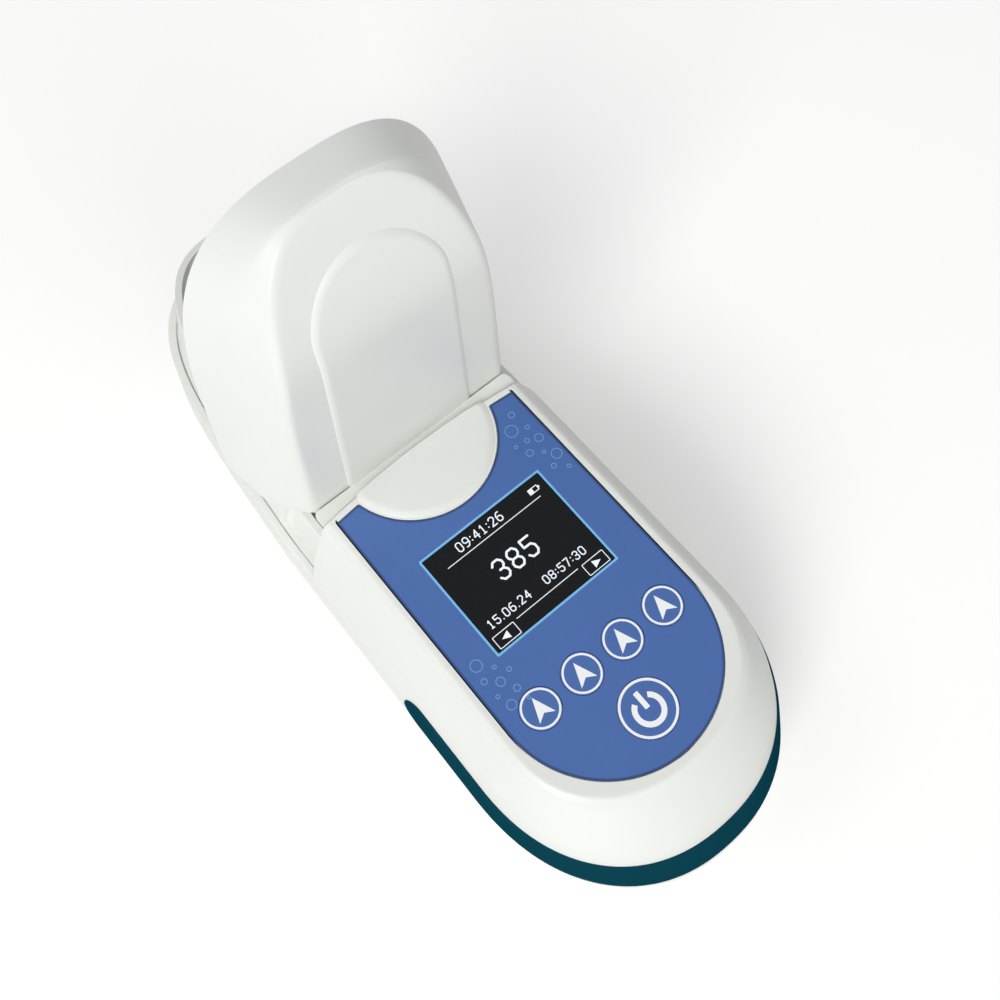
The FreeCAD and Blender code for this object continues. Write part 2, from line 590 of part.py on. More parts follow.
barrel = Part.makeCylinder(BARREL_RADIUS, 2 * barrel_half, Vector(-barrel_half, HINGE_Y, HINGE_Z),
                           Vector(1, 0, 0))
lid = lid.fuse(barrel)
for side in (-1, 1):
    slot_x0 = side * LUG_X - LUG_WIDTH / 2 - RUN_GAP
    slot_x1 = side * LUG_X + LUG_WIDTH / 2 + RUN_GAP
    lid = lid.cut(box(slot_x0, slot_x1, HINGE_Y - BARREL_RADIUS - 1, HINGE_Y + LUG_RADIUS + RUN_GAP,
                      lid_low - 1, HINGE_Z + LUG_RADIUS + RUN_GAP))
pin = Part.makeCylinder(PIN_RADIUS, PIN_LENGTH, Vector(LUG_X - PIN_LENGTH / 2, HINGE_Y, HINGE_Z),
                        Vector(1, 0, 0))
lid = lid.cut(mirror_fuse(pin))


def opened(shape):
    """The shape turned from the shut to the open position."""
    turned = shape.copy()
    turned.rotate(Vector(0, HINGE_Y, HINGE_Z), Vector(1, 0, 0), OPEN_ANGLE)
    return turned


save(opened(lid), "lid_shell")

# Hinge pins, pressed into the lid's barrel and turning in the lugs
save(both_sides(pin), "hinge_pins")

# Lid liner: a thin black tray inside the lid that stops stray light
liner_inset = WALL + SEAT_GAP
liner = top_body(liner_inset).common(under_crown(-liner_inset))
liner = liner.cut(top_body(liner_inset + LINER_WALL).common(under_crown(-liner_inset - LINER_WALL)))
liner = liner.common(box(-REACH, REACH, HINGE_Y + 2 * BARREL_RADIUS, REACH,
                         TRAP_TOP_Z + 2 * RUN_GAP, PANEL_Z))
save(opened(liner), "lid_liner")

# Optical block: black moulding with the sample well, its collar through the deck, and
# three bores that meet the well: the lamp's, with a sleeve, and two detectors' bores,
# one straight across from the lamp and one at a right angle to it
optic = box(-OPTIC_HALF, OPTIC_HALF, WELL_Y - OPTIC_HALF, WELL_Y + OPTIC_HALF, FLOOR_Z, OPTIC_TOP_Z)
optic = optic.fuse(rod(COLLAR_RADIUS, OPTIC_TOP_Z - 1, COLLAR_TOP_Z, 0, WELL_Y))
optic = optic.cut(rod(WELL_RADIUS, WELL_FLOOR_Z, COLLAR_TOP_Z + 1, 0, WELL_Y))
beam_start = Vector(0, WELL_Y, BEAM_Z)
to_left = Vector(-1, 0, 0)
to_right = Vector(1, 0, 0)
to_front = Vector(0, -1, 0)


def along(radius, near, far, way):
    """Cylinder on the beam's level between two distances from the well's axis."""
    return Part.makeCylinder(radius, far - near, beam_start + way * near, way)


lens_near = WELL_RADIUS + LENS_WALL
led_near = lens_near + LENS_THICK + LED_LENS_GAP
led_far = led_near + LED_LENGTH
detector_near = OPTIC_HALF - DETECTOR_LENGTH
optic = optic.fuse(along(LAMP_SLEEVE_RADIUS, OPTIC_HALF - 1, led_far, to_left))
optic = optic.cut(along(BEAM_RADIUS, 0, OPTIC_HALF + 1, to_left))
optic = optic.cut(along(LENS_RADIUS, lens_near, led_far + 1, to_left))
for way in (to_right, to_front):
    optic = optic.cut(along(BEAM_RADIUS, 0, OPTIC_HALF + 1, way))
    optic = optic.cut(along(DETECTOR_RADIUS, detector_near, OPTIC_HALF + 1, way))
save(optic, "optical_block")
lamp = along(LED_RADIUS, led_near, led_far, to_left)
lamp = lamp.fuse(along(LENS_RADIUS, led_far - LED_FLANGE, led_far, to_left))
save(lamp, "infrared_lamp")
lens = along(LENS_RADIUS, lens_near, lens_near + LENS_THICK, to_left)
save(lens, "lamp_lens")
save(along(DETECTOR_RADIUS, detector_near, OPTIC_HALF, to_right), "beam_detector")
save(along(DETECTOR_RADIUS, detector_near, OPTIC_HALF, to_front), "scatter_detector")

# Small boards that carry the lamp and the two detectors on the block's faces
lamp_board_x = -led_far
board_low = BEAM_Z - SENSOR_BOARD_HALF
board_high = BEAM_Z + SENSOR_BOARD_HALF
save(Part.makeCompound([
    box(lamp_board_x - BOARD_THICK, lamp_board_x, WELL_Y - SENSOR_BOARD_HALF, WELL_Y + SENSOR_BOARD_HALF,
        board_low, board_high),
    box(OPTIC_HALF, OPTIC_HALF + BOARD_THICK, WELL_Y - SENSOR_BOARD_HALF, WELL_Y + SENSOR_BOARD_HALF,
        board_low, board_high),
    box(-SENSOR_BOARD_HALF, SENSOR_BOARD_HALF, WELL_Y - OPTIC_HALF - BOARD_THICK, WELL_Y - OPTIC_HALF,
        board_low, board_high),
]), "sensor_boards")

# Light seal: a soft ring on the deck round the well's collar
seal = rod(COLLAR_RADIUS + SEAT_GAP + SEAL_WIDTH, DECK_Z, DECK_Z + SEAL_HEIGHT, 0, WELL_Y)
seal = seal.cut(rod(COLLAR_RADIUS + SEAT_GAP / 2, DECK_Z - 1, DECK_Z + SEAL_HEIGHT + 1, 0, WELL_Y))
save(seal, "light_seal")

# Battery holder: a tray open below, standing on the base's floor over the door
cell_z = FLOOR_Z + CELL_RADIUS + RUN_GAP
holder_top = cell_z + CELL_RADIUS + RUN_GAP + HOLDER_WALL
door_y0 = BATTERY_Y - DOOR_HALF_Y
door_y1 = BATTERY_Y + DOOR_HALF_Y
holder = box(-DOOR_HALF_X - HOLDER_WALL, DOOR_HALF_X + HOLDER_WALL, door_y0 - HOLDER_WALL,
             door_y1 + HOLDER_WALL, FLOOR_Z, holder_top)
holder = holder.cut(box(-DOOR_HALF_X, DOOR_HALF_X, door_y0, door_y1, FLOOR_Z - 1, holder_top - HOLDER_WALL))
save(holder, "battery_holder")

# Cells, laid side by side with alternate ends forward, and their spring contacts
cells = []
contacts = []
for i in range(CELL_COUNT):
    x = CELL_PITCH * (i - (CELL_COUNT - 1) / 2)
    way = 1 if i % 2 else -1
    back = BATTERY_Y - way * (DOOR_HALF_Y - CONTACT_LENGTH)
    cell = Part.makeCylinder(CELL_RADIUS, CELL_LENGTH, Vector(x, back, cell_z), Vector(0, way, 0))
    nub = Part.makeCylinder(CELL_NUB_RADIUS, CELL_NUB, Vector(x, back + way * CELL_LENGTH, cell_z),
                            Vector(0, way, 0))
    cells.append(cell.fuse(nub))
    for y in (door_y0, door_y1 - CONTACT_LENGTH):
        contacts.append(Part.makeCylinder(CONTACT_RADIUS, CONTACT_LENGTH, Vector(x, y, cell_z),
                                          Vector(0, 1, 0)))
save(Part.makeCompound(cells), "battery_cells")
save(Part.makeCompound(contacts), "battery_contacts")

# Battery door: flush with the base, with grip ribs cut across its rear end
door = box(-DOOR_HALF_X + SEAT_GAP, DOOR_HALF_X - SEAT_GAP, door_y0 + SEAT_GAP, door_y1 - SEAT_GAP,
           FOOT_PROUD, FLOOR_Z)
for i in range(GRIP_COUNT):
    y = door_y1 - GRIP_MARGIN - i * GRIP_PITCH
    door = door.cut(box(-GRIP_HALF, GRIP_HALF, y - GRIP_PITCH / 4, y + GRIP_PITCH / 4,
                        FOOT_PROUD - 1, FOOT_PROUD + GRIP_DEPTH))
save(door, "battery_door")

# Feet: soft discs glued in shallow seats
feet = [rod(FOOT_RADIUS - SEAT_GAP / 2, 0, FOOT_PROUD + FOOT_SEAT, x, y) for x, y in foot_places]
save(Part.makeCompound(feet), "rubber_feet")
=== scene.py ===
import json
import math

import bmesh
import bpy
import numpy as np
from mathutils import Matrix, Vector

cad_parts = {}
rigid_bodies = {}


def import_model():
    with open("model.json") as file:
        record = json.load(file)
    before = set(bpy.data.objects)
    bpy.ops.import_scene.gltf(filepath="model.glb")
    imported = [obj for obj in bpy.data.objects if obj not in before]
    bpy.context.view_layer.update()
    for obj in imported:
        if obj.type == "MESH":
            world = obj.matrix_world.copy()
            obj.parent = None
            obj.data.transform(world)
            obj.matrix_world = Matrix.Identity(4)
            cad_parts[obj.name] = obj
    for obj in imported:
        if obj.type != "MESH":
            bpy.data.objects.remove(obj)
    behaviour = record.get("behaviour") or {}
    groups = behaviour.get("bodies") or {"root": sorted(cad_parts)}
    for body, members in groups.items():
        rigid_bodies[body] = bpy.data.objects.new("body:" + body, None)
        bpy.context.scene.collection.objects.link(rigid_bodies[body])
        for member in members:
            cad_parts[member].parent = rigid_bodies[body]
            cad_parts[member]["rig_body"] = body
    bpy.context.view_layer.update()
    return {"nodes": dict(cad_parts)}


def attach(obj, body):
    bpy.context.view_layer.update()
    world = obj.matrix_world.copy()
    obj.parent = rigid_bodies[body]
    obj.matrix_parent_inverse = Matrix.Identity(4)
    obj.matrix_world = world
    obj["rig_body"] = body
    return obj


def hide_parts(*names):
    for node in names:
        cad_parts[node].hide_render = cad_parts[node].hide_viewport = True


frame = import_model()

# A hand-held turbidity meter: a long white case with a blue key panel and a dark display,
# and a light shield that stands open on its hinge over the sample well.
# Sizes are in millimetres until they are written into a mesh, with Z up from the table,
# Y back from the user's end and X across.

MM = 0.001
# From the drawing's zero along Y to the middle of the case, where the origin lies
MIDWAY = 3.3


# Camera: high over the front left corner, looking down on the panel, as a hand-held
# picture on a table is taken.
camera_place = np.array([-60.8, -93.4, 353.5])
camera_right = np.array([0.7678, -0.6406, 0.0])
camera_ahead = np.array([0.2261, 0.2710, -0.9357])
camera_lens = 40.0

camera_data = bpy.data.cameras.new("camera")
camera_data.lens = camera_lens
camera_data.sensor_width = 36.0
camera_data.clip_start = 0.01
camera_data.clip_end = 20.0
camera = bpy.data.objects.new("camera", camera_data)
bpy.context.scene.collection.objects.link(camera)
camera_up = np.cross(camera_right, camera_ahead)
turn = np.stack([camera_right, camera_up, -camera_ahead], axis=1)
camera.rotation_mode = "QUATERNION"
camera.location = camera_place * MM
camera.rotation_quaternion = Matrix(turn.tolist()).to_quaternion()
bpy.context.scene.camera = camera
bpy.context.scene.view_settings.view_transform = "Standard"


# Table: a matt pale sheet that runs out of the picture. The camera sees it as white,
# and it keeps the soft shadow under and behind the meter.

def linear(text):
    """Linear colour with alpha 1 from sRGB hex digits."""
    values = [int(text[i:i + 2], 16) / 255 for i in (0, 2, 4)]
    return tuple(v / 12.92 if v <= 0.04045 else ((v + 0.055) / 1.055) ** 2.4 for v in values) + (1.0,)


def add(tree, kind, settings=None, links=None):
    """Adds one node, gives it its properties or socket values, and links sockets into it."""
    node = tree.nodes.new(kind)
    for key, value in (settings or {}).items():
        if isinstance(key, int) or key in node.inputs:
            node.inputs[key].default_value = value
        else:
            setattr(node, key, value)
    for key, socket in (links or {}).items():
        tree.links.new(socket, node.inputs[key])
    return node


def new_material(name):
    """Empty node material and its tree."""
    material = bpy.data.materials.new(name)
    material.use_nodes = True
    material.node_tree.nodes.clear()
    return material, material.node_tree


def finish_material(tree, shader, bump=None):
    """Output node for a shader, with a bump on its normal where there is one."""
    if bump is not None:
        tree.links.new(bump, shader.inputs["Normal"])
    add(tree, "ShaderNodeOutputMaterial", links={"Surface": shader.outputs[0]})


table_material, tree = new_material("table_sheet")
paper = add(tree, "ShaderNodeBsdfDiffuse", {"Color": linear("F4F4F2")})
rays = add(tree, "ShaderNodeLightPath")
share = add(tree, "ShaderNodeMath", {"operation": "MULTIPLY", 1: 0.2}, {0: rays.outputs["Is Camera Ray"]})
white = add(tree, "ShaderNodeEmission", {"Color": (1, 1, 1, 1)}, {"Strength": share.outputs[0]})
sheet = add(tree, "ShaderNodeAddShader", links={0: paper.outputs[0], 1: white.outputs[0]})
finish_material(tree, sheet)

table_mesh = bpy.data.meshes.new("table")
reach = 6.0
table_mesh.from_pydata([(-reach, -reach, 0), (reach, -reach, 0), (reach, reach, 0), (-reach, reach, 0)],
                       [], [(0, 1, 2, 3)])
table = bpy.data.objects.new("table", table_mesh)
table_mesh.materials.append(table_material)
bpy.context.scene.collection.objects.link(table)


# Lights: one broad soft light from the left, weaker ones from the front and from behind
# on the left, and a pale sky all round, at a level where a colour renders as it is written.

def area_light(name, place, target, size, power):
    """Square light at a place in metres, aimed at a target."""
    data = bpy.data.lights.new(name, "AREA")
    data.shape = "SQUARE"
    data.size = size
    data.energy = power
    light = bpy.data.objects.new(name, data)
    light.location = place
    way = np.array(target) - np.array(place)
    light.rotation_mode = "QUATERNION"
    light.rotation_quaternion = Vector(way.tolist()).to_track_quat("-Z", "Y")
    bpy.context.scene.collection.objects.link(light)
    return light


area_light("key_light", (-2.2, -1.2, 2.3), (0, 0, 0.05), 1.5, 58.0)
area_light("front_light", (-0.3, -2.6, 1.9), (0, 0, 0.05), 1.8, 17.0)
area_light("back_light", (-1.6, 1.2, 2.8), (0, 0, 0.05), 1.4, 12.0)

world = bpy.data.worlds.new("studio")
bpy.context.scene.world = world
world.use_nodes = True
tree = world.node_tree
tree.nodes.clear()
sky = add(tree, "ShaderNodeBackground", {"Color": (0.97, 0.98, 1.0, 1.0), "Strength": 0.4})
backdrop = add(tree, "ShaderNodeBackground", {"Color": (1, 1, 1, 1), "Strength": 1.0})
rays = add(tree, "ShaderNodeLightPath")
seen = add(tree, "ShaderNodeMixShader", links={"Fac": rays.outputs["Is Camera Ray"], 1: sky.outputs[0],
                                               2: backdrop.outputs[0]})
add(tree, "ShaderNodeOutputWorld", links={"Surface": seen.outputs[0]})


# Base: the tub of the case, injection moulded in warm white ABS with a fine spark-eroded
# grain. Its walls bulge a little above the table and round under to a flat bottom, which
# is cut out for the battery door.
RIM_Z = 45.0
PANEL_Z = 72.0
FRONT_CENTRE_Y = -69.3
REAR_START_Y = 22.9
SIDE_TAPER = 1.4
FRONT_POWER = 2.2
REAR_POWER = 5.0
REAR_ROUND = 2.8
WALL = 2.4
BOTTOM_Z = 1.5
FLOOR_Z = 3.9
DOOR_HALF_X = 30.0
DOOR_Y0 = -64.0
DOOR_Y1 = -8.0

CHINE_Z = 12.0
BELLY_Z = 31.0
CREASE_Z = 57.3

# Height, half width, front end, taper of the rear and rear end
LEVELS = np.array([
    (BOTTOM_Z, 34.2, -107.5, 0.07, 105.9),
    (CHINE_Z, 41.3, -118.0, 0.07, 113.0),
    (BELLY_Z, 46.1, -123.4, 0.07, 116.8),
    (RIM_Z, 44.7, -118.0, 0.07, 116.4),
    (CREASE_Z, 41.8, -113.3, 0.09, 118.4),
    (PANEL_Z, 34.9, -100.0, 0.05, 113.2),
])


def level_values(z):
    """Half width, front end, rear taper and rear end at a height, straight between levels."""
    return [np.interp(z, LEVELS[:, 0], LEVELS[:, k]) for k in range(1, 5)]


def case_outline(z, s, inset=0.0):
    """Right half of the case's outline at a height.

    s from 0 to 1 is the front curve, a superellipse; from 1 to 2 the straight side, which
    narrows a little; from 2 to 3 the rear curve, whose width falls with the fifth power
    of the distance. Returns x and y.
    """
    half, front, taper, rear = level_values(z)
    half, front, rear = half - inset, front + inset, rear - inset
    a = np.radians(90 * np.clip(s, 0, 1))
    x = half * np.sin(a) ** (2 / FRONT_POWER)
    y = FRONT_CENTRE_Y + (front - FRONT_CENTRE_Y) * np.cos(a) ** (2 / FRONT_POWER)
    t = np.clip(s - 1, 0, 1)
    x_side = half - SIDE_TAPER * t
    y_side = FRONT_CENTRE_Y + (REAR_START_Y - FRONT_CENTRE_Y) * t
    b = np.radians(90 * np.clip(s - 2, 0, 1) ** 2)
    share = np.sin(b) ** (2 / REAR_POWER)
    run = share * (rear - REAR_START_Y)
    x_rear = (half - SIDE_TAPER - taper * run) * np.cos(b) ** (2 / REAR_ROUND)
    x = np.where(s <= 1, x, np.where(s <= 2, x_side, x_rear))
    y = np.where(s <= 1, y, np.where(s <= 2, y_side, REAR_START_Y + run))
    return x, y


def stations(front, side, rear):
    """Places along the right half of an outline, closer together where it turns."""
    return np.concatenate([np.linspace(0, 1, front, endpoint=False),
                           np.linspace(1, 2, side, endpoint=False), np.linspace(2, 3, rear)])


def closed_loop(x, y, z):
    """Loop all round from a right half that starts and ends on the middle line."""
    right = np.stack([x, y, np.broadcast_to(z, x.shape)], axis=-1)
    left = right[-2:0:-1] * np.array([-1, 1, 1])
    return np.concatenate([right, left])


def softened(rows, reach, step=0.6):
    """Rows of points carried through the control rows with every corner rounded.

    Each column is a broken line. It is replaced by its running mean over plus and minus
    the reach, in millimetres, which leaves straight runs alone and bends evenly at a
    corner. The reach shrinks to nothing at both ends, so that the ends stay.
    """
    rows = np.asarray(rows, float)
    gaps = np.linalg.norm(np.diff(rows, axis=0), axis=2).mean(axis=1)
    marks = np.concatenate([[0], np.cumsum(gaps)])
    areas = np.cumsum((rows[1:] + rows[:-1]) / 2 * gaps[:, None, None], axis=0)
    areas = np.concatenate([np.zeros_like(rows[:1]), areas])
    total = marks[-1]
    count = max(int(total / step), 4)
    t = np.linspace(0, total, count + 1)
    reach = np.interp(t, marks, np.broadcast_to(reach, marks.shape)) + 1e-6
    reach = np.minimum(reach, np.minimum(t, total - t))

    def area_to(at):
        """Sum of the broken line from its start to each mark."""
        k = np.clip(np.searchsorted(marks, at, side="right") - 1, 0, len(gaps) - 1)
        part = (at - marks[k])[:, None, None]
        slope = (rows[k + 1] - rows[k]) / gaps[k][:, None, None]
        return areas[k] + rows[k] * part + slope * part ** 2 / 2

    k = np.clip(np.searchsorted(marks, t, side="right") - 1, 0, len(gaps) - 1)
    straight = rows[k] + (rows[k + 1] - rows[k]) * ((t - marks[k]) / gaps[k])[:, None, None]
    width = np.where(reach > 1e-3, 2 * reach, 1.0)[:, None, None]
    mean = (area_to(t + reach) - area_to(t - reach)) / width
    return np.where((reach > 1e-3)[:, None, None], mean, straight)


def grid_faces(rows, columns, wrap_rows=False, wrap_columns=True, start=0):
    """Quads of a grid of points, each four corners as indices."""
    r = np.arange(rows if wrap_rows else rows - 1)
    c = np.arange(columns if wrap_columns else columns - 1)
    r, c = np.meshgrid(r, c, indexing="ij")
    r1, c1 = (r + 1) % rows, (c + 1) % columns
    quads = np.stack([r * columns + c, r * columns + c1, r1 * columns + c1, r1 * columns + c], axis=-1)
    return quads.reshape(-1, 4) + start


def make_piece(name, grids, material, body, sharp=35.0, replaces=()):
    """One object from several grids of points in millimetres.

    Each grid is (points, wrap_rows, wrap_columns). Coinciding points are merged, faces
    that merging closed up are dropped, normals are turned outwards, and edges that turn
    more than the sharp angle stay crisp.
    """
    points, faces, start = [], [], 0
    for grid, wrap_rows, wrap_columns in grids:
        rows, columns = grid.shape[:2]
        points.append(grid.reshape(-1, 3))
        faces.append(grid_faces(rows, columns, wrap_rows, wrap_columns, start))
        start += rows * columns
    points = (np.concatenate(points) + np.array([0, MIDWAY, 0])) * MM
    faces = np.concatenate(faces)
    mesh = bpy.data.meshes.new(name)
    mesh.vertices.add(len(points))
    mesh.vertices.foreach_set("co", points.astype(np.float32).ravel())
    mesh.loops.add(faces.size)
    mesh.loops.foreach_set("vertex_index", faces.astype(np.int32).ravel())
    mesh.polygons.add(len(faces))
    mesh.polygons.foreach_set("loop_start", np.arange(0, faces.size, 4, dtype=np.int32))
    mesh.update(calc_edges=True)
    mesh.validate()
    work = bmesh.new()
    work.from_mesh(mesh)
    bmesh.ops.remove_doubles(work, verts=work.verts, dist=2e-6)
    bmesh.ops.dissolve_degenerate(work, edges=work.edges, dist=1e-6)
    bmesh.ops.recalc_face_normals(work, faces=work.faces)
    work.to_mesh(mesh)
    work.free()
    mesh.shade_smooth()
    mesh.set_sharp_from_angle(angle=math.radians(sharp))
    piece = bpy.data.objects.new(name, mesh)
    bpy.context.scene.collection.objects.link(piece)
    mesh.materials.append(material)
    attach(piece, body)
    if replaces:
        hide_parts(*replaces)
    return piece


def moulded_plastic(name, colour, shade, grain_mm, bump_mm, roughness):
    """Moulded plastic: one pigment with a faint cloudiness, and the fine even grain that a
    spark-eroded mould leaves, which breaks up the shine."""
    material, tree = new_material(name)
    place = add(tree, "ShaderNodeTexCoord")
    cloud = add(tree, "ShaderNodeTexNoise", {"Scale": 22.0, "Detail": 3.0, "Roughness": 0.6},
                {"Vector": place.outputs["Object"]})
    tint = add(tree, "ShaderNodeMix", {"data_type": "RGBA", 6: linear(colour), 7: linear(shade)},
               {"Factor": cloud.outputs["Fac"]})
    grain = add(tree, "ShaderNodeTexNoise", {"Scale": 1000 / grain_mm, "Detail": 2.0, "Roughness": 0.55},
                {"Vector": place.outputs["Object"]})
    spread = add(tree, "ShaderNodeMapRange", {"To Min": roughness - 0.05, "To Max": roughness + 0.07},
                 {"Value": grain.outputs["Fac"]})
    bump = add(tree, "ShaderNodeBump", {"Strength": 0.35, "Distance": bump_mm * MM},
               {"Height": grain.outputs["Fac"]})
    shader = add(tree, "ShaderNodeBsdfPrincipled", {"IOR": 1.5, "Specular IOR Level": 0.5},
                 {"Base Color": tint.outputs[2], "Roughness": spread.outputs["Result"]})
    finish_material(tree, shader, bump.outputs["Normal"])
    return material


white_abs = moulded_plastic("white_abs", "EDEEE9", "E8E9E3", 0.45, 0.03, 0.36)

s = stations(56, 44, 60)


def ring(z, inset=0.0):
    """Whole outline of the case at a height, moved inwards."""
    x, y = case_outline(z, s, inset)
    return closed_loop(x, y, z)


def door_ring(z, gap=0.0):
    """Rectangle of the battery opening, with as many points as the outline has."""
    x = np.where(s <= 1, s, np.where(s <= 2, 1.0, 3 - s)) * (DOOR_HALF_X + gap)
    t = np.clip(s - 1, 0, 1)
    y = (DOOR_Y0 - gap) + (DOOR_Y1 - DOOR_Y0 + 2 * gap) * t
    return closed_loop(x, y, z)


outer = softened([door_ring(BOTTOM_Z), ring(BOTTOM_Z, 6.0), ring(BOTTOM_Z), ring(CHINE_Z), ring(BELLY_Z),
                  ring(RIM_Z - 0.4)], [0.0, 3.0, 5.5, 5.0, 3.0, 0.2], 0.8)
rim = np.stack([ring(RIM_Z - 0.12, 0.12), ring(RIM_Z, 0.45), ring(RIM_Z, WALL - 0.3),
                ring(RIM_Z - 0.3, WALL)])
inner = np.stack([ring(BELLY_Z, WALL), ring(CHINE_Z, WALL), ring(FLOOR_Z + 0.6, WALL),
                  ring(FLOOR_Z, WALL + 0.8), door_ring(FLOOR_Z)])
base = make_piece("base_tub", [(np.concatenate([outer, rim, inner]), True, True)], white_abs, "case",
                  30.0, ["base_shell"])

# Screw recesses in its bottom, one under each corner of the cover
SCREW_RECESS_RADIUS = 2.9
SCREW_PLACES = [(-18.0, -94.5), (18.0, -94.5), (-27.0, 1.0), (27.0, 1.0)]


def drilled(piece, places, radius, z0, z1):
    """Cuts upright round holes into a closed piece, all with one cutter."""
    work = bmesh.new()
    for x, y in places:
        spot = Matrix.Translation((x * MM, (y + MIDWAY) * MM, (z0 + z1) / 2 * MM))
        bmesh.ops.create_cone(work, cap_ends=True, segments=48, radius1=radius * MM, radius2=radius * MM,
                              depth=(z1 - z0) * MM, matrix=spot)
    cutter_mesh = bpy.data.meshes.new("cutter")
    work.to_mesh(cutter_mesh)
    work.free()
    cutter = bpy.data.objects.new("cutter", cutter_mesh)
    bpy.context.scene.collection.objects.link(cutter)
    cut = piece.modifiers.new("holes", "BOOLEAN")
    cut.operation = "DIFFERENCE"
    cut.solver = "MANIFOLD"
    cut.object = cutter
    bpy.context.view_layer.update()
    graph = bpy.context.evaluated_depsgraph_get()
    mesh = bpy.data.meshes.new_from_object(piece.evaluated_get(graph))
    old = piece.data
    piece.modifiers.remove(cut)
    piece.data = mesh
    bpy.data.meshes.remove(old)
    bpy.data.objects.remove(cutter)
    mesh.shade_smooth()
    mesh.set_sharp_from_angle(angle=math.radians(30))


drilled(base, SCREW_PLACES, SCREW_RECESS_RADIUS, -1.0, 3.0)


# Trim strip: a smooth deep-teal soft moulding that wraps the front of the case in a
# groove across the parting line. It stands half a millimetre proud, with rounded ends.
TRIM_Z0 = 35.0
TRIM_Z1 = 49.0
TRIM_END_Y = -35.7
TRIM_PROUD = 0.5

teal_rubber, tree = new_material("teal_soft_moulding")
place = add(tree, "ShaderNodeTexCoord")
grain = add(tree, "ShaderNodeTexNoise", {"Scale": 1800.0, "Detail": 2.0}, {"Vector": place.outputs["Object"]})
cloud = add(tree, "ShaderNodeTexNoise", {"Scale": 30.0, "Detail": 3.0}, {"Vector": place.outputs["Object"]})
tint = add(tree, "ShaderNodeMix", {"data_type": "RGBA", 6: linear("0B3A48"), 7: linear("0E4452")},
           {"Factor": cloud.outputs["Fac"]})
bump = add(tree, "ShaderNodeBump", {"Strength": 0.25, "Distance": 0.02 * MM},
           {"Height": grain.outputs["Fac"]})
shader = add(tree, "ShaderNodeBsdfPrincipled", {"Roughness": 0.7, "Specular IOR Level": 0.0},
             {"Base Color": tint.outputs[2]})
finish_material(tree, shader, bump.outputs["Normal"])

turns = np.concatenate([np.linspace(0, 1, 90, endpoint=False),
                        1 + (TRIM_END_Y - FRONT_CENTRE_Y) / (REAR_START_Y - FRONT_CENTRE_Y)
                        * (1 - (1 - np.linspace(0, 1, 60)) ** 2)])


def trim_half(across, proud):
    """Right half of one line along the strip.

    across is -1 at the strip's lower edge and 1 at the upper, and both edges close in
    on a half circle at the strip's end.
    """
    middle, tall = (TRIM_Z0 + TRIM_Z1) / 2, (TRIM_Z1 - TRIM_Z0) / 2
    x, y = case_outline(middle, turns)
    left_over = np.clip((TRIM_END_Y - y) / tall, 0, 1)
    height = tall * np.sqrt(np.clip(1 - (1 - left_over) ** 2, 0, 1))
    z = middle + height * across
    x, y = case_outline(z, turns, -proud)
    return np.stack([x, y, z], axis=-1)


lines = []
for across, proud in ((-1.0, -1.0), (-1.0, 0.1), (-0.985, 0.34), (-0.94, 0.5), (-0.5, 0.55), (0.0, 0.55),
                      (0.5, 0.55), (0.94, 0.5), (0.985, 0.34), (1.0, 0.1), (1.0, -1.0)):
    half = trim_half(across, min(proud, TRIM_PROUD))
    lines.append(np.concatenate([(half * np.array([-1, 1, 1]))[:0:-1], half]))
make_piece("trim_band", [(np.stack(lines), True, False)], teal_rubber, "case", 40.0,
           ["trim_strip"])


# Cover: the moulded top half of the display end. Its sides lean in from the parting line
# over a soft crease to the panel edge, and it ends at the back in a curved step. The seat
# for the printed panel is sunk into its flat top.
STEP_Y = 11.8
STEP_SIDE_Y = 9.4
PANEL_HALF = 34.9
KEY_ROW_Y = -65.0
DISPLAY_Y = -31.5
ARCH_CENTRE_Y = 14.0
NOTCH = 23.6
SEAT_Z = 70.9

step_radius = (PANEL_HALF ** 2 + (STEP_Y - STEP_SIDE_Y) ** 2) / (2 * (STEP_Y - STEP_SIDE_Y))


def step_line(x):
    """Distance back of the step at a distance from the middle, on a wide circle."""
    return STEP_Y - step_radius + np.sqrt(step_radius ** 2 - x ** 2)


s_cover = stations(64, 40, 60)


def cover_ring(z, inset=0.0, back=None):
    """Outline of the cover at a height: the case's outline up to the step, then the step."""
    back = inset if back is None else back
    half, front, taper, rear = level_values(z)
    half, front = half - inset, front + inset
    x_front, y_front = case_outline(z, np.clip(s_cover, 0, 1), inset)
    y_end = step_line(np.array(half - SIDE_TAPER * 0.86)) - back
    t = np.clip(s_cover - 1, 0, 1)
    y_side = FRONT_CENTRE_Y + (y_end - FRONT_CENTRE_Y) * t
    x_side = half - SIDE_TAPER * (y_side - FRONT_CENTRE_Y) / (REAR_START_Y - FRONT_CENTRE_Y)
    x_end = half - SIDE_TAPER * (y_end - FRONT_CENTRE_Y) / (REAR_START_Y - FRONT_CENTRE_Y)
    x_step = x_end * (3 - s_cover)
    y_step = step_line(x_step) - back
    x = np.where(s_cover <= 1, x_front, np.where(s_cover <= 2, x_side, x_step))
    y = np.where(s_cover <= 1, y_front, np.where(s_cover <= 2, y_side, y_step))
    return closed_loop(x, y, z)


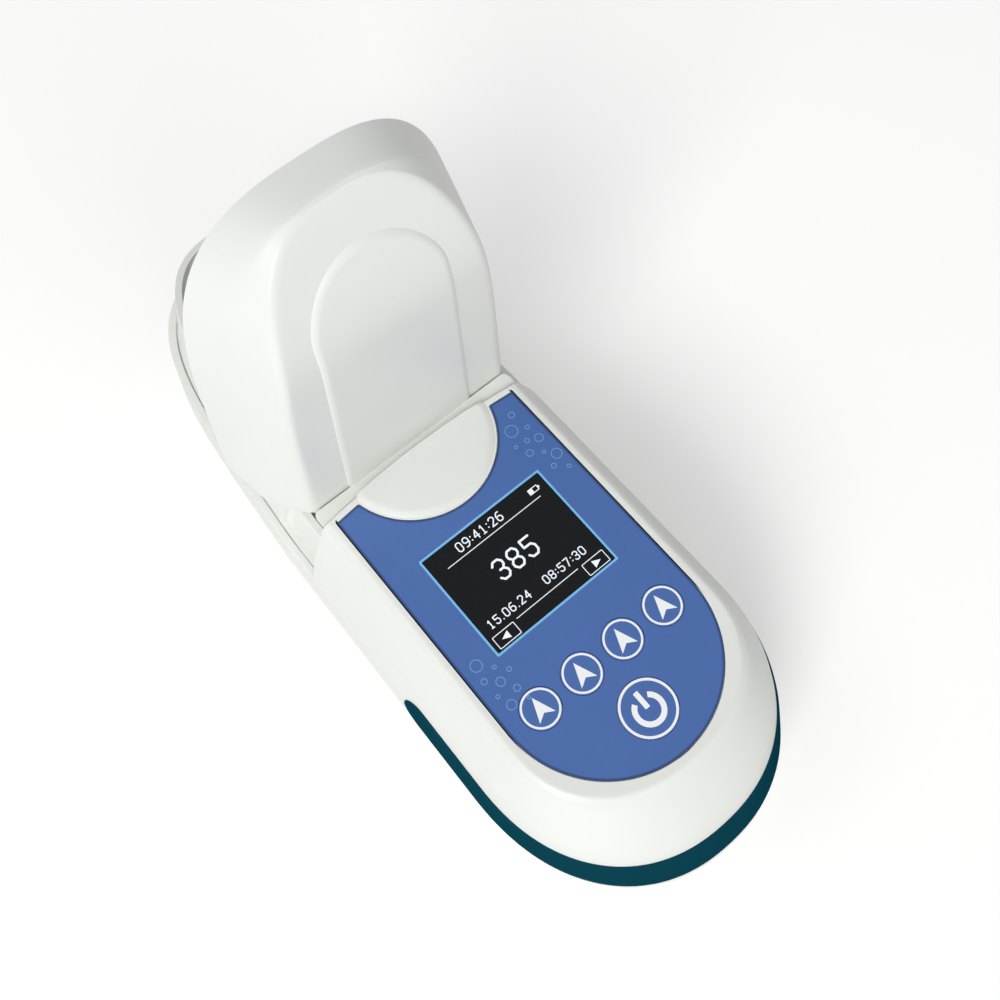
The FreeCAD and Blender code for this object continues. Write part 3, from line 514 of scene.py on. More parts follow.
def panel_edge(grow):
    """Right half of the printed panel's outline.

    A half circle in front, sides that narrow evenly, a slightly bowed back edge, and a
    round notch about the raised disc.
    """
    front_half = 31.1 + 0.0095 * (DISPLAY_Y - KEY_ROW_Y) + grow
    rear_half = 31.1 - 0.0095 * (7.7 - DISPLAY_Y) + grow
    a = np.radians(90 * np.clip(s_cover, 0, 1))
    x_front, y_front = front_half * np.sin(a), KEY_ROW_Y - front_half * np.cos(a)
    t = np.clip(s_cover - 1, 0, 1)
    x_side = front_half + (rear_half - front_half) * t
    y_side = KEY_ROW_Y + (7.7 + grow - KEY_ROW_Y) * t
    notch = NOTCH - grow
    x_cut = math.sqrt(notch ** 2 - (ARCH_CENTRE_Y - 8.42 - grow) ** 2)
    u = np.clip((s_cover - 2) / 0.3, 0, 1)
    x_back = rear_half + (x_cut - rear_half) * u
    y_back = 9.3 + grow - 1.6 * (x_back / rear_half) ** 2
    corner = math.atan2(ARCH_CENTRE_Y - 8.42 - grow, x_cut)
    v = corner + (math.pi / 2 - corner) * np.clip((s_cover - 2.3) / 0.7, 0, 1)
    x = np.where(s_cover <= 1, x_front, np.where(s_cover <= 2, x_side,
                                                 np.where(s_cover <= 2.3, x_back, notch * np.cos(v))))
    y = np.where(s_cover <= 1, y_front, np.where(s_cover <= 2, y_side,
                                                 np.where(s_cover <= 2.3, y_back,
                                                          ARCH_CENTRE_Y - notch * np.sin(v))))
    return x, y


def panel_ring(z, grow=0.0):
    """Closed outline of the printed panel."""
    x, y = panel_edge(grow)
    return closed_loop(x, y, z)


def pole(loop, x, y, z):
    """A loop drawn together into one point."""
    return np.broadcast_to(np.array([x, y, z]), loop.shape).copy()


sides = softened([cover_ring(RIM_Z + 0.3), cover_ring(CREASE_Z), cover_ring(PANEL_Z),
                  cover_ring(PANEL_Z, 3.4, 1.2)], [0.2, 3.0, 2.6, 0.5], 0.45)
top = np.stack([panel_ring(PANEL_Z, 0.28), panel_ring(PANEL_Z - 0.1, 0.12), panel_ring(SEAT_Z, 0.12)])
floor = pole(top[0], 0, -20, SEAT_Z)[None]
ceiling = cover_ring(SEAT_Z - 1.3, WALL + 0.6, WALL)
under = np.stack([pole(ceiling, 0, -20, SEAT_Z - 1.3), ceiling, cover_ring(CREASE_Z, WALL),
                  cover_ring(RIM_Z + 0.3, WALL), cover_ring(RIM_Z, WALL - 0.3), cover_ring(RIM_Z, 0.45),
                  cover_ring(RIM_Z + 0.1, 0.12)])
make_piece("cover", [(np.concatenate([under, sides, top, floor]), False, True)], white_abs, "case", 32.0,
           ["upper_shell"])

# Raised disc: the front end of the arch that runs from the panel on to the lid
ARCH_HALF = 21.0
ARCH_PROUD = 0.7

angle = np.linspace(0, 1, 120)


def disc_ring(z, inset=0.0):
    """Front half circle of the arch, closed along the step."""
    radius = ARCH_HALF - inset
    half = 20.6 - inset
    low = math.acos(half / radius)
    a = -math.pi + low + (math.pi - 2 * low) * angle
    x = np.concatenate([radius * np.cos(a), np.linspace(half, -half, 60)[1:-1]])
    y = np.concatenate([ARCH_CENTRE_Y + radius * np.sin(a), step_line(x[len(a):]) - 0.1])
    y[:len(a)] = np.minimum(y[:len(a)], step_line(x[:len(a)]) - 0.1)
    return np.stack([x, y, np.full_like(x, z)], axis=-1)


disc_rows = softened([disc_ring(PANEL_Z - 0.5, -2.0), disc_ring(PANEL_Z + 0.05, -1.9),
                      disc_ring(PANEL_Z + ARCH_PROUD, -0.2), disc_ring(PANEL_Z + ARCH_PROUD, 2.0)],
                     [0.1, 0.3, 0.6, 0.1], 0.12)
disc_rows = np.concatenate([pole(disc_rows[0], 0, 3, PANEL_Z - 0.5)[None], disc_rows,
                            pole(disc_rows[0], 0, 3, PANEL_Z + ARCH_PROUD)[None]])
make_piece("raised_disc", [(disc_rows, False, True)], white_abs, "case", 40.0)


# Printed panel: a polycarbonate film glued into the seat, printed blue from behind, with
# pale print. A darker blue line along its edge is painted shade, standing for the shade in
# the gap between the film and the cover. The film has a fine velvet texture.
FILM_Z = 71.5
FRAME_WIDTH = 42.0
FRAME_HEIGHT = 33.6
FRAME_LINE = 0.8
FRAME_THIN = 0.2
KEYS = [("left_key", -21.0, KEY_ROW_Y, 5.6), ("centre_left_key", -7.0, KEY_ROW_Y, 5.6),
        ("centre_right_key", 7.0, KEY_ROW_Y, 5.6), ("right_key", 21.0, KEY_ROW_Y, 5.6),
        ("power_key", 0.0, -82.4, 7.9)]


def film_finish(name, colour, shade):
    """Film finish: an even colour under a velvet surface with a soft sheen, used for the print and for the
    painted shade along the film's edge.
    """
    material, tree = new_material(name)
    place = add(tree, "ShaderNodeTexCoord")
    cloud = add(tree, "ShaderNodeTexNoise", {"Scale": 35.0, "Detail": 4.0, "Roughness": 0.6},
                {"Vector": place.outputs["Object"]})
    tint = add(tree, "ShaderNodeMix", {"data_type": "RGBA", 6: linear(colour), 7: linear(shade)},
               {"Factor": cloud.outputs["Fac"]})
    velvet = add(tree, "ShaderNodeTexNoise", {"Scale": 3200.0, "Detail": 1.0},
                 {"Vector": place.outputs["Object"]})
    bump = add(tree, "ShaderNodeBump", {"Strength": 0.2, "Distance": 0.015 * MM},
               {"Height": velvet.outputs["Fac"]})
    shader = add(tree, "ShaderNodeBsdfPrincipled", {"Roughness": 0.4, "IOR": 1.58},
                 {"Base Color": tint.outputs[2]})
    finish_material(tree, shader, bump.outputs["Normal"])
    return material


blue_film = film_finish("blue_printed_film", "4A6FB2", "4268AA")
# This darker blue is painted shade for the gap along the film's edge, not ink.
shade_line_film = film_finish("painted_edge_shade_blue", "2F4F86", "2B497D")
white_ink = film_finish("white_ink", "FDFDFE", "F9FAFC")
pale_ink = film_finish("pale_blue_ink", "78ACE2", "70A5DC")

panel_node = frame["nodes"]["panel_overlay"]
panel_node.data.materials.clear()
panel_node.data.materials.append(blue_film)


def lift(loop, z):
    """Loop in plan at a height."""
    return np.concatenate([loop, np.full((len(loop), 1), z)], axis=1)


def unit(a):
    """Points of the unit circle at angles."""
    return np.stack([np.cos(a), np.sin(a)], axis=1)


def flat_band(outer_xy, inner_xy, z, thick=0.03):
    """Closed thin band of print between two loops of points in plan."""
    rows = [lift(outer_xy, z - thick), lift(outer_xy, z + thick), lift(inner_xy, z + thick),
            lift(inner_xy, z - thick)]
    return np.stack(rows), True, True


def circle(x, y, radius, count=96):
    """Points of a circle in plan."""
    return (x, y) + radius * unit(np.linspace(0, 2 * np.pi, count, endpoint=False))


def flat_shape(outline, z, thick=0.03):
    """Closed thin plate of print from an outline that its own middle can see all of."""
    outline = np.asarray(outline, float)
    middle = np.broadcast_to(outline.mean(axis=0), outline.shape)
    rows = [lift(middle, z - thick), lift(outline, z - thick), lift(outline, z + thick),
            lift(middle, z + thick)]
    return np.stack(rows), False, True


def loop_of(x, y):
    """Closed loop in plan from its right half."""
    right = np.stack([x, y], axis=1)
    return np.concatenate([right, right[-2:0:-1] * np.array([-1, 1])])


# Painted shade: a darker blue band just inside the film's edge, for the shade in the gap between the film and
# the cover.
edge_outer = loop_of(*panel_edge(-0.12))
edge_inner = loop_of(*panel_edge(-0.62))
make_piece("painted_edge_shade_band", [flat_band(edge_outer, edge_inner, PANEL_Z)], shade_line_film, "case", 40.0)

# Pale rings printed on the film in two loose clusters
bubbles = [(25.9, 2.2, 1.0), (22.7, -1.6, 1.9), (26.9, -3.4, 0.7), (24.2, -6.5, 0.8), (20.6, -6.0, 0.55),
           (27.3, -7.9, 1.3), (22.4, -9.8, 1.1), (25.6, -12.0, 0.6), (28.0, -14.6, 1.6), (25.0, -16.9, 0.8),
           (28.2, -19.6, 0.6), (-26.6, -46.2, 1.7), (-23.2, -49.4, 0.6), (-27.6, -50.6, 0.9),
           (-24.4, -53.3, 1.3), (-20.6, -52.2, 0.7), (-27.4, -55.8, 0.6), (-22.2, -57.2, 1.0),
           (-26.0, -59.6, 1.4), (-21.4, -61.0, 0.5)]
make_piece("printed_bubbles", [flat_band(circle(x, y, r, 48), circle(x, y, r - 0.2, 48), PANEL_Z)
                               for x, y, r in bubbles], pale_ink, "case", 40.0)


# Display: a hard-coated window flush with the film, black behind, with a light blue
# printed frame line, and pale figures that glow on the screen under it.
window_black, tree = new_material("display_window_black")
place = add(tree, "ShaderNodeTexCoord")
smear = add(tree, "ShaderNodeTexNoise", {"Scale": 60.0, "Detail": 4.0}, {"Vector": place.outputs["Object"]})
spread = add(tree, "ShaderNodeMapRange", {"To Min": 0.16, "To Max": 0.26}, {"Value": smear.outputs["Fac"]})
shader = add(tree, "ShaderNodeBsdfPrincipled", {"Base Color": linear("121315"), "IOR": 1.45,
                                                "Specular IOR Level": 0.35},
             {"Roughness": spread.outputs["Result"]})
finish_material(tree, shader)

screen_glow, tree = new_material("screen_figures")
place = add(tree, "ShaderNodeTexCoord")
dots = add(tree, "ShaderNodeTexNoise", {"Scale": 400.0, "Detail": 1.0}, {"Vector": place.outputs["Object"]})
tint = add(tree, "ShaderNodeMix", {"data_type": "RGBA", 6: linear("F2F6FA"), 7: linear("E2EAF2")},
           {"Factor": dots.outputs["Fac"]})
shader = add(tree, "ShaderNodeBsdfPrincipled", {"Roughness": 0.35, "Emission Strength": 0.25},
             {"Base Color": tint.outputs[2], "Emission Color": tint.outputs[2]})
finish_material(tree, shader)


def rounded_box_loop(x0, x1, y0, y1, radius, count=10):
    """Rectangle in plan with round corners."""
    loop = []
    for cx, cy, first in ((x1 - radius, y1 - radius, 0), (x0 + radius, y1 - radius, 90),
                          (x0 + radius, y0 + radius, 180), (x1 - radius, y0 + radius, 270)):
        a = np.radians(first + np.linspace(0, 90, count))
        loop.append((cx, cy) + radius * unit(a))
    return np.concatenate(loop)


half_w, half_h = FRAME_WIDTH / 2 - FRAME_LINE - 0.1, FRAME_HEIGHT / 2 - FRAME_LINE - 0.1


def window_loop(inset):
    """Outline of the window, moved inwards."""
    return rounded_box_loop(-half_w + inset, half_w - inset, DISPLAY_Y - half_h + inset,
                            DISPLAY_Y + half_h - inset, 0.4)


window_rows = np.stack([np.zeros_like(window_loop(0)) + (0, DISPLAY_Y), window_loop(0.0), window_loop(0.0),
                        window_loop(0.12), np.zeros_like(window_loop(0)) + (0, DISPLAY_Y)])
window_z = np.array([FILM_Z, FILM_Z, PANEL_Z - 0.12, PANEL_Z, PANEL_Z])
window_rows = np.concatenate([window_rows, np.broadcast_to(window_z[:, None, None],
                                                           window_rows.shape[:2] + (1,))], axis=2)
make_piece("display_pane", [(window_rows, False, True)], window_black, "case", 30.0,
           ["display_window"])
frame_outer = rounded_box_loop(-FRAME_WIDTH / 2 + FRAME_THIN, FRAME_WIDTH / 2 - FRAME_THIN,
                               DISPLAY_Y - FRAME_HEIGHT / 2 + FRAME_THIN,
                               DISPLAY_Y + FRAME_HEIGHT / 2 - FRAME_THIN, 0.4)
frame_inner = rounded_box_loop(-FRAME_WIDTH / 2 + FRAME_LINE, FRAME_WIDTH / 2 - FRAME_LINE,
                               DISPLAY_Y - FRAME_HEIGHT / 2 + FRAME_LINE,
                               DISPLAY_Y + FRAME_HEIGHT / 2 - FRAME_LINE, 0.3)
frame_ink = film_finish("light_blue_frame_ink", "7FC6F4", "78BFEF")
make_piece("display_frame_line", [flat_band(frame_outer, frame_inner, PANEL_Z)], frame_ink, "case", 40.0)

# Figures: plain numerals drawn in short straight strokes with cut corners, and simple marks.
# Each stroke is a row of points on a field four wide and six tall.
STROKES = {
    "0": [[(1, 0), (3, 0), (4, 1), (4, 5), (3, 6), (1, 6), (0, 5), (0, 1), (1, 0)]],
    "1": [[(0.8, 4.8), (2, 6), (2, 0)], [(0.9, 0), (3.1, 0)]],
    "2": [[(0, 5), (1, 6), (3, 6), (4, 5), (4, 3.9), (0, 0), (4, 0)]],
    "3": [[(0, 5), (1, 6), (3, 6), (4, 5), (4, 4), (3, 3), (1.6, 3)],
          [(3, 3), (4, 2), (4, 1), (3, 0), (1, 0), (0, 1)]],
    "4": [[(3, 0), (3, 6), (0, 2), (4, 2)]],
    "5": [[(4, 6), (0.2, 6), (0.2, 3.6), (3, 3.6), (4, 2.6), (4, 1), (3, 0), (1, 0), (0, 1)]],
    "6": [[(3.6, 6), (1.6, 6), (0, 4.2), (0, 1), (1, 0), (3, 0), (4, 1), (4, 2.4), (3, 3.4), (0, 3.4)]],
    "7": [[(0, 6), (4, 6), (1.6, 0)]],
    "8": [[(1, 3), (0, 2), (0, 1), (1, 0), (3, 0), (4, 1), (4, 2), (3, 3), (1, 3), (0, 4), (0, 5),
           (1, 6), (3, 6), (4, 5), (4, 4), (3, 3)]],
    "9": [[(4, 2.6), (1, 2.6), (0, 3.6), (0, 5), (1, 6), (3, 6), (4, 5), (4, 1.8), (2.4, 0), (0.4, 0)]],
}


def stroke_bar(start, end, stroke, z):
    """Straight stroke with round ends between two points."""
    turn = math.atan2(end[1] - start[1], end[0] - start[0])
    cap = unit(turn + np.linspace(-math.pi / 2, math.pi / 2, 9)) * stroke / 2
    return flat_shape(np.concatenate([end + cap, start - cap]), z)


def numerals(text, x, y, width, height, stroke, gap, z):
    """A row of numerals, points and colons, its lower left corner at x, y."""
    parts = []
    for mark in text:
        if mark in ".:":
            dots = (0.03,) if mark == "." else (0.25, 0.7)
            parts += [flat_shape(circle(x + stroke * 0.3, y + height * k, stroke * 0.6, 20), z) for k in dots]
            x += stroke * 0.6 + gap
            continue
        for line in STROKES[mark]:
            points = np.array(line) * (width / 4, height / 6) + (x, y)
            parts += [stroke_bar(start, end, stroke, z) for start, end in zip(points, points[1:])]
        x += width + gap
    return parts


figures = numerals("385", -6.6, -33.2, 3.1, 5.6, 0.62, 1.8, PANEL_Z)
figures += numerals("09:41:26", -10.4, -19.9, 1.45, 2.6, 0.34, 0.85, PANEL_Z)
figures += numerals("15.06.24", -17.4, -41.3, 1.3, 2.3, 0.32, 0.8, PANEL_Z)
figures += numerals("08:57:30", 1.6, -41.3, 1.3, 2.3, 0.32, 0.8, PANEL_Z)
figures.append(flat_band(rounded_box_loop(14.4, 17.6, -19.6, -17.9, 0.2),
                         rounded_box_loop(14.65, 17.35, -19.35, -18.15, 0.1), PANEL_Z))
figures.append(flat_shape(rounded_box_loop(14.5, 15.9, -19.5, -18.0, 0.1), PANEL_Z))
figures.append(flat_shape(rounded_box_loop(17.6, 18.0, -19.1, -18.4, 0.05), PANEL_Z))
for x0, x1, level in ((-15.8, 16.4, -21.4), (-10.6, 10.6, -43.4)):
    figures.append(flat_shape(rounded_box_loop(x0, x1, level, level + 0.22, 0.1), PANEL_Z))
for side in (-1, 1):
    figures.append(flat_band(rounded_box_loop(15.4 * side - 3.6, 15.4 * side + 3.6, -47.0, -43.2, 0.3),
                             rounded_box_loop(15.4 * side - 3.38, 15.4 * side + 3.38, -46.78, -43.42, 0.2),
                             PANEL_Z))
    figures.append(flat_shape([(17.0 * side, -45.1), (14.6 * side, -44.0), (14.6 * side, -46.2)], PANEL_Z))
make_piece("screen_figures", figures, screen_glow, "case", 40.0)


# Keys: round spots of the same film over the switches, each with a printed white ring and
# a mark, and a larger one for power in front of them
INK_Z = PANEL_Z


def key_disc(x, y, radius):
    """Flat disc with a finely rounded edge on a short stem."""
    rows = [(0.0, 69.0), (1.6, 69.0), (1.6, FILM_Z), (radius - 0.05, FILM_Z), (radius, FILM_Z + 0.08),
            (radius, PANEL_Z - 0.1), (radius - 0.1, PANEL_Z), (0.0, PANEL_Z)]
    return np.stack([lift(circle(x, y, max(r, 1e-4)), z) for r, z in rows]), False, True


def arrow_mark(x, y, size):
    """Pointer of a navigation arrow: two flanks that meet in a notch, tip to the back."""
    tip, left, notch, right = (0, 1.0), (-0.72, -0.78), (0, -0.36), (0.72, -0.78)
    parts = []
    for points in ((tip, left, notch), (tip, notch, right)):
        parts.append(flat_shape([(x + px * size, y + py * size) for px, py in points], INK_Z))
    return parts


def arc_band(x, y, radius, stroke, first, last, count=60):
    """Closed thin band along part of a circle, in degrees from the X axis."""
    spokes = unit(np.radians(np.linspace(first, last, count)))
    outer_arc = (x, y) + (radius + stroke / 2) * spokes
    inner_arc = (x, y) + (radius - stroke / 2) * spokes
    grid = flat_band(outer_arc, inner_arc, INK_Z)[0]
    caps = [np.stack([grid[[0, 3], k], grid[[1, 2], k]]) for k in (0, -1)]
    return [(grid, True, False)] + [(cap, False, False) for cap in caps]


for node, x, y, radius in KEYS:
    body = node + "_body"
    make_piece(node + "_spot", [key_disc(x, y, radius)], blue_film, body, 30.0, [node])
    if node == "power_key":
        marks = [flat_band(circle(x, y, 7.75), circle(x, y, 7.05), INK_Z)]
        marks += arc_band(x, y - 0.4, 3.8, 1.5, -236, 56)
        marks.append(flat_shape(rounded_box_loop(x - 0.72, x + 0.72, y + 0.1, y + 5.1, 0.2), INK_Z))
    else:
        marks = [flat_band(circle(x, y, 5.3), circle(x, y, 4.72), INK_Z)] + arrow_mark(x, y - 0.1, 3.6)
    make_piece(node + "_print", marks, white_ink, body, 40.0)


# Deck: the moulded plate behind the step with the low light-trap wall, the hinge block
# and its two lugs. Bevelled and smoothed over the modelled part.
def smoothed_copy(node, name, material, bevel_mm, sharp=32.0):
    """Merged copy of a modelled part with finely rounded edges."""
    source = frame["nodes"][node]
    body = source["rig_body"]
    mesh = source.data.copy()
    mesh.materials.clear()
    work = bmesh.new()
    work.from_mesh(mesh)
    bmesh.ops.remove_doubles(work, verts=work.verts, dist=1e-6)
    bmesh.ops.dissolve_degenerate(work, edges=work.edges, dist=1e-7)
    bmesh.ops.dissolve_limit(work, angle_limit=math.radians(0.4), verts=work.verts, edges=work.edges)
    work.to_mesh(mesh)
    work.free()
    mesh.shade_smooth()
    mesh.set_sharp_from_angle(angle=math.radians(sharp))
    mesh.materials.append(material)
    piece = bpy.data.objects.new(name, mesh)
    bpy.context.scene.collection.objects.link(piece)
    if bevel_mm:
        bevel = piece.modifiers.new("edges", "BEVEL")
        bevel.width = bevel_mm * MM
        bevel.segments = 2
        bevel.limit_method = "ANGLE"
        bevel.angle_limit = math.radians(40)
        bevel.harden_normals = False
    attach(piece, body)
    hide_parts(node)
    return piece


smoothed_copy("sample_deck", "deck_plate", white_abs, 0.25)

black_plastic = moulded_plastic("black_light_trap_plastic", "161718", "1C1D1F", 0.4, 0.03, 0.5)
seal_rubber = moulded_plastic("black_seal_rubber", "1A1A1B", "202021", 0.3, 0.02, 0.62)
smoothed_copy("optical_block", "optic_moulding", black_plastic, 0.25)
smoothed_copy("light_seal", "collar_seal", seal_rubber, 0.3)


# Hinge fence: a slim moulded ledge on the hinge block that fills the space between the
# step and the hinge barrel, a hair below the panel, so that no light falls through there.
FENCE_GAP = 0.35
FENCE_REAR_Y = 14.9
FENCE_TOP_Z = 69.8
FENCE_FOOT_Z = 62.65


def fence_row(x, foot):
    """Closed profile of the ledge across the meter at a place, with a rounded top."""
    front = float(step_line(np.array(abs(x)))) + FENCE_GAP
    rear = FENCE_REAR_Y - 1.8 + 1.8 * math.sqrt(1 - min(max(abs(x) - 32.2, 0) / 1.8, 1) ** 2)
    corner = 0.5
    a = np.radians(np.linspace(90, 0, 7))
    rear_arc = np.stack([rear - corner + corner * np.cos(a),
                         FENCE_TOP_Z - corner + corner * np.sin(a)], axis=1)
    front_arc = np.stack([front + corner - corner * np.cos(a[::-1]),
                          FENCE_TOP_Z - corner + corner * np.sin(a[::-1])], axis=1)
    loop = np.concatenate([[(front, foot)], front_arc, rear_arc, [(rear, foot)]])
    return np.concatenate([np.full((len(loop), 1), x), loop], axis=1)


fence_rows = []
for x in np.concatenate([np.linspace(-34.0, -31.8, 9), np.linspace(-31.8, 31.8, 60),
                         np.linspace(31.8, 34.0, 9)]):
    fence_rows.append(fence_row(x, FENCE_FOOT_Z if abs(x) < 31.79 else 68.9))
ends = [np.broadcast_to(row.mean(axis=0), row.shape) for row in (fence_rows[0], fence_rows[-1])]
make_piece("hinge_fence", [(np.stack([ends[0]] + fence_rows + [ends[1]]), False, True)], white_abs, "case",
           32.0)


# Lid: the light shield, one moulding of the same white ABS, about 2.4 thick. It is worked
# out shut and then turned up about its hinge. Its top droops to the far end, its side
# cheeks reach forward past the hinge, and the arch is raised on its top.
HINGE_Y = 19.1
HINGE_Z = 68.2
BARREL = 3.8
CHEEK_Y = 10.9
CHEEK_TOP_Z = 62.0
LID_LOW_Z = 45.3
DROOP_Y = 80.0
SPINE_Y = 90.0


def crown(y):
    """Height of the lid's top: level, then falling with the square of the distance."""
    return PANEL_Z - 6.0 * (np.clip(y - DROOP_Y, 0, None) / 25.2) ** 2


def lid_front(z):
    """Front edge of the lid's sides at a height.

    From the rim up: an arc about the hinge, an upright edge, a slope, and the arc of the
    hinge barrel.
    """
    low = HINGE_Y - np.sqrt(np.clip((HINGE_Z - LID_LOW_Z + 0.02) ** 2 - (z - HINGE_Z) ** 2, 0, None))
    nose = HINGE_Y - np.sqrt(np.clip(BARREL ** 2 - (z - HINGE_Z) ** 2, 0, None))
    slope = CHEEK_Y + (HINGE_Y - BARREL - CHEEK_Y) * (z - CHEEK_TOP_Z) / (HINGE_Z - CHEEK_TOP_Z)
    edge = np.where(z < CHEEK_TOP_Z, CHEEK_Y, slope)
    edge = np.where(z > HINGE_Z, nose, edge)
    return np.where((z < CHEEK_TOP_Z) & (low > CHEEK_Y), low, edge)


s_lid = np.concatenate([np.linspace(1, 2, 40, endpoint=False), np.linspace(2, 3, 110)])


def lid_line(z, inset):
    """Right half of the lid's outline at a height given for each station."""
    x, y = case_outline(z, s_lid, inset)
    front = lid_front(z)
    t = np.clip(s_lid - 1, 0, 1)
    y_side = front + (REAR_START_Y - front) * t
    half = level_values(z)[0] - inset
    x_side = half - SIDE_TAPER * (y_side - FRONT_CENTRE_Y) / (REAR_START_Y - FRONT_CENTRE_Y)
    return np.where(s_lid <= 2, x_side, x), np.where(s_lid <= 2, y_side, y)


def lid_skin(inset, low_z, reach, pull=0.0):
    """Surface of the lid from rim to rim over the top, for the outside or the inside.

    Each rib rises from the rim to the edge of the top, which follows the crown, and runs
    in over the top to the spine. The left half mirrors the right. The pull draws the far
    end in, with the square of the distance.
    """

    def line(z):
        """Right half of the outline with its far end drawn in."""
        x, y = lid_line(z, inset)
        return x, y - pull * np.clip((y - 80.0) / 35.0, 0, 1) ** 2

    drop = inset
    z_edge = np.full(s_lid.shape, PANEL_Z - drop - 6.0)
    for _ in range(12):
        z_edge = crown(line(z_edge)[1]) - drop
    controls = []
    bend = np.maximum(np.minimum(CREASE_Z, z_edge - 1.5), low_z + 0.6)
    for z in (np.full_like(z_edge, low_z), bend, z_edge):
        x, y = line(z)
        controls.append(np.stack([x, y, z], axis=-1))
    edge = controls[-1]
    spine_y = np.minimum(edge[:, 1], SPINE_Y)
    for share in (0.15, 0.35, 0.55, 0.75, 1.0):
        x = edge[:, 0] * (1 - share)
        y = edge[:, 1] * (1 - share) + spine_y * share
        controls.append(np.stack([x, y, crown(y) - drop], axis=-1))
    ribs = softened(controls, reach, 0.7)
    left = ribs[-2::-1] * np.array([-1, 1, 1])
    return np.concatenate([ribs, left])


def opened(points):
    """Points turned from the shut lid to the open one, a quarter turn about the hinge."""
    x, y, z = points[..., 0], points[..., 1], points[..., 2]
    return np.stack([x, HINGE_Y - (z - HINGE_Z), HINGE_Z + (y - HINGE_Y)], axis=-1)


outside = lid_skin(0.0, LID_LOW_Z, [0.3, 2.6, 2.2, 2.0, 2.0, 2.0, 2.0, 0.5])
inside = lid_skin(WALL, LID_LOW_Z, [0.3, 4.0, 1.6, 2.0, 2.0, 2.0, 2.0, 0.5])


def shell_of(outside, inside):
    """Closed shell from two matching skins: both skins, both rims and the front edge."""
    parts = [(outside, False, False), (inside, False, False)]
    for edge in (0, -1):
        parts.append((np.stack([outside[edge], inside[edge]]), False, False))
    count = min(len(outside), len(inside))
    pick_out = np.round(np.linspace(0, len(outside) - 1, count)).astype(int)
    pick_in = np.round(np.linspace(0, len(inside) - 1, count)).astype(int)
    parts.append((np.stack([outside[pick_out, 0], inside[pick_in, 0]]), False, False))
    return parts


def resampled(rows, count):
    """The same skin with a given number of rows."""
    t = np.linspace(0, len(rows) - 1, count)
    k = np.clip(t.astype(int), 0, len(rows) - 2)
    part = (t - k)[:, None, None]
    return rows[k] * (1 - part) + rows[k + 1] * part


inside = resampled(inside, len(outside))
lid_parts = shell_of(outside, inside)
make_piece("lid_shield", [(opened(p), a, b) for p, a, b in lid_parts], white_abs, "lid", 32.0,
           ["lid_shell"])


def barrel_part(x0, x1, radius=BARREL, edge=0.4):
    """Closed cylinder along the hinge with rounded ends."""
    a = np.linspace(0, 2 * np.pi, 72, endpoint=False)
    profile = [(x0, 1e-4), (x0, radius - edge), (x0 + edge * 0.3, radius - edge * 0.3), (x0 + edge, radius),
               (x1 - edge, radius), (x1 - edge * 0.3, radius - edge * 0.3), (x1, radius - edge), (x1, 1e-4)]
    return np.stack([np.stack([np.full_like(a, x), HINGE_Y + r * np.cos(a), HINGE_Z + r * np.sin(a)], axis=-1)
                     for x, r in profile]), False, True


def nose_cover(x0, x1, inner=2.7):
    """Closed strip of the barrel's surface that covers a lug from above."""
    spokes = unit(np.radians(np.linspace(84, 136, 16)))
    loop = np.concatenate([spokes * BARREL, (spokes * inner)[::-1]])
    rows = []
    for x, shrink in ((x0, 0), (x0, 1), (x1, 1), (x1, 0)):
        middle = loop.mean(axis=0)
        y, z = ((HINGE_Y, HINGE_Z) + (middle + (loop - middle) * shrink)).T
        rows.append(np.stack([np.full(len(loop), x), y, z], axis=-1))
    return np.stack(rows), False, True


barrel_parts = [barrel_part(-32.9, -29.4), barrel_part(-23.6, 23.6), barrel_part(29.4, 32.9),
                nose_cover(-29.6, -23.4), nose_cover(23.4, 29.6)]
make_piece("lid_barrel", [(opened(p), a, b) for p, a, b in barrel_parts], white_abs, "lid", 32.0)

# Raised arch on the lid
ARCH_TIP = 18.0
ARCH_END_Y = 108.0
crown_y = ARCH_END_Y - ARCH_TIP


def arch_ring(rise, inset=0.0):
    """Closed loop of the arch on the lid's top, moved inwards, raised over the crown."""
    t = np.linspace(0, 1, 70)
    front_y = HINGE_Y - 0.4
    x_right = (ARCH_HALF + (ARCH_TIP - ARCH_HALF) * t) - inset
    y_right = front_y + (crown_y - front_y) * t
    a = np.linspace(0, np.pi, 90)[1:-1]
    x_tip, y_tip = (ARCH_TIP - inset) * np.cos(a), crown_y + (ARCH_TIP - inset) * np.sin(a)
    x = np.concatenate([x_right, x_tip, -x_right[::-1]])
    y = np.concatenate([y_right, y_tip, y_right[::-1]])
    x_back = np.linspace(x[-1], x[0], 30)[1:-1]
    x = np.concatenate([x, x_back])
    y = np.concatenate([y, np.full_like(x_back, front_y)])
    return np.stack([x, y, crown(y) + rise], axis=-1)


arch_rows = softened([arch_ring(-0.6, -0.7), arch_ring(0.0, -0.7), arch_ring(ARCH_PROUD, 0.5),
                      arch_ring(ARCH_PROUD, 2.5)], [0.1, 0.4, 0.8, 0.1], 0.12)
inner_loop = arch_rows[-1]
spine = np.stack([inner_loop[:, 0] * 0, np.clip(inner_loop[:, 1], HINGE_Y + 5, crown_y)], axis=-1)
fills = []
for share in (0.2, 0.4, 0.6, 0.8, 1.0):
    plan = inner_loop[:, :2] * (1 - share) + spine * share
    fills.append(np.concatenate([plan, (crown(plan[:, 1]) + ARCH_PROUD)[:, None]], axis=1))
under_loop = arch_rows[0].copy()
closing = []
for share in (1.0, 0.5):
    plan = under_loop[:, :2] * (1 - share) + spine * share
    closing.append(np.concatenate([plan, (crown(plan[:, 1]) - 0.6)[:, None]], axis=1))
arch_grid = np.concatenate([np.stack(closing), arch_rows, np.stack(fills)])
make_piece("lid_arch", [(opened(arch_grid), False, True)], white_abs, "lid", 40.0)

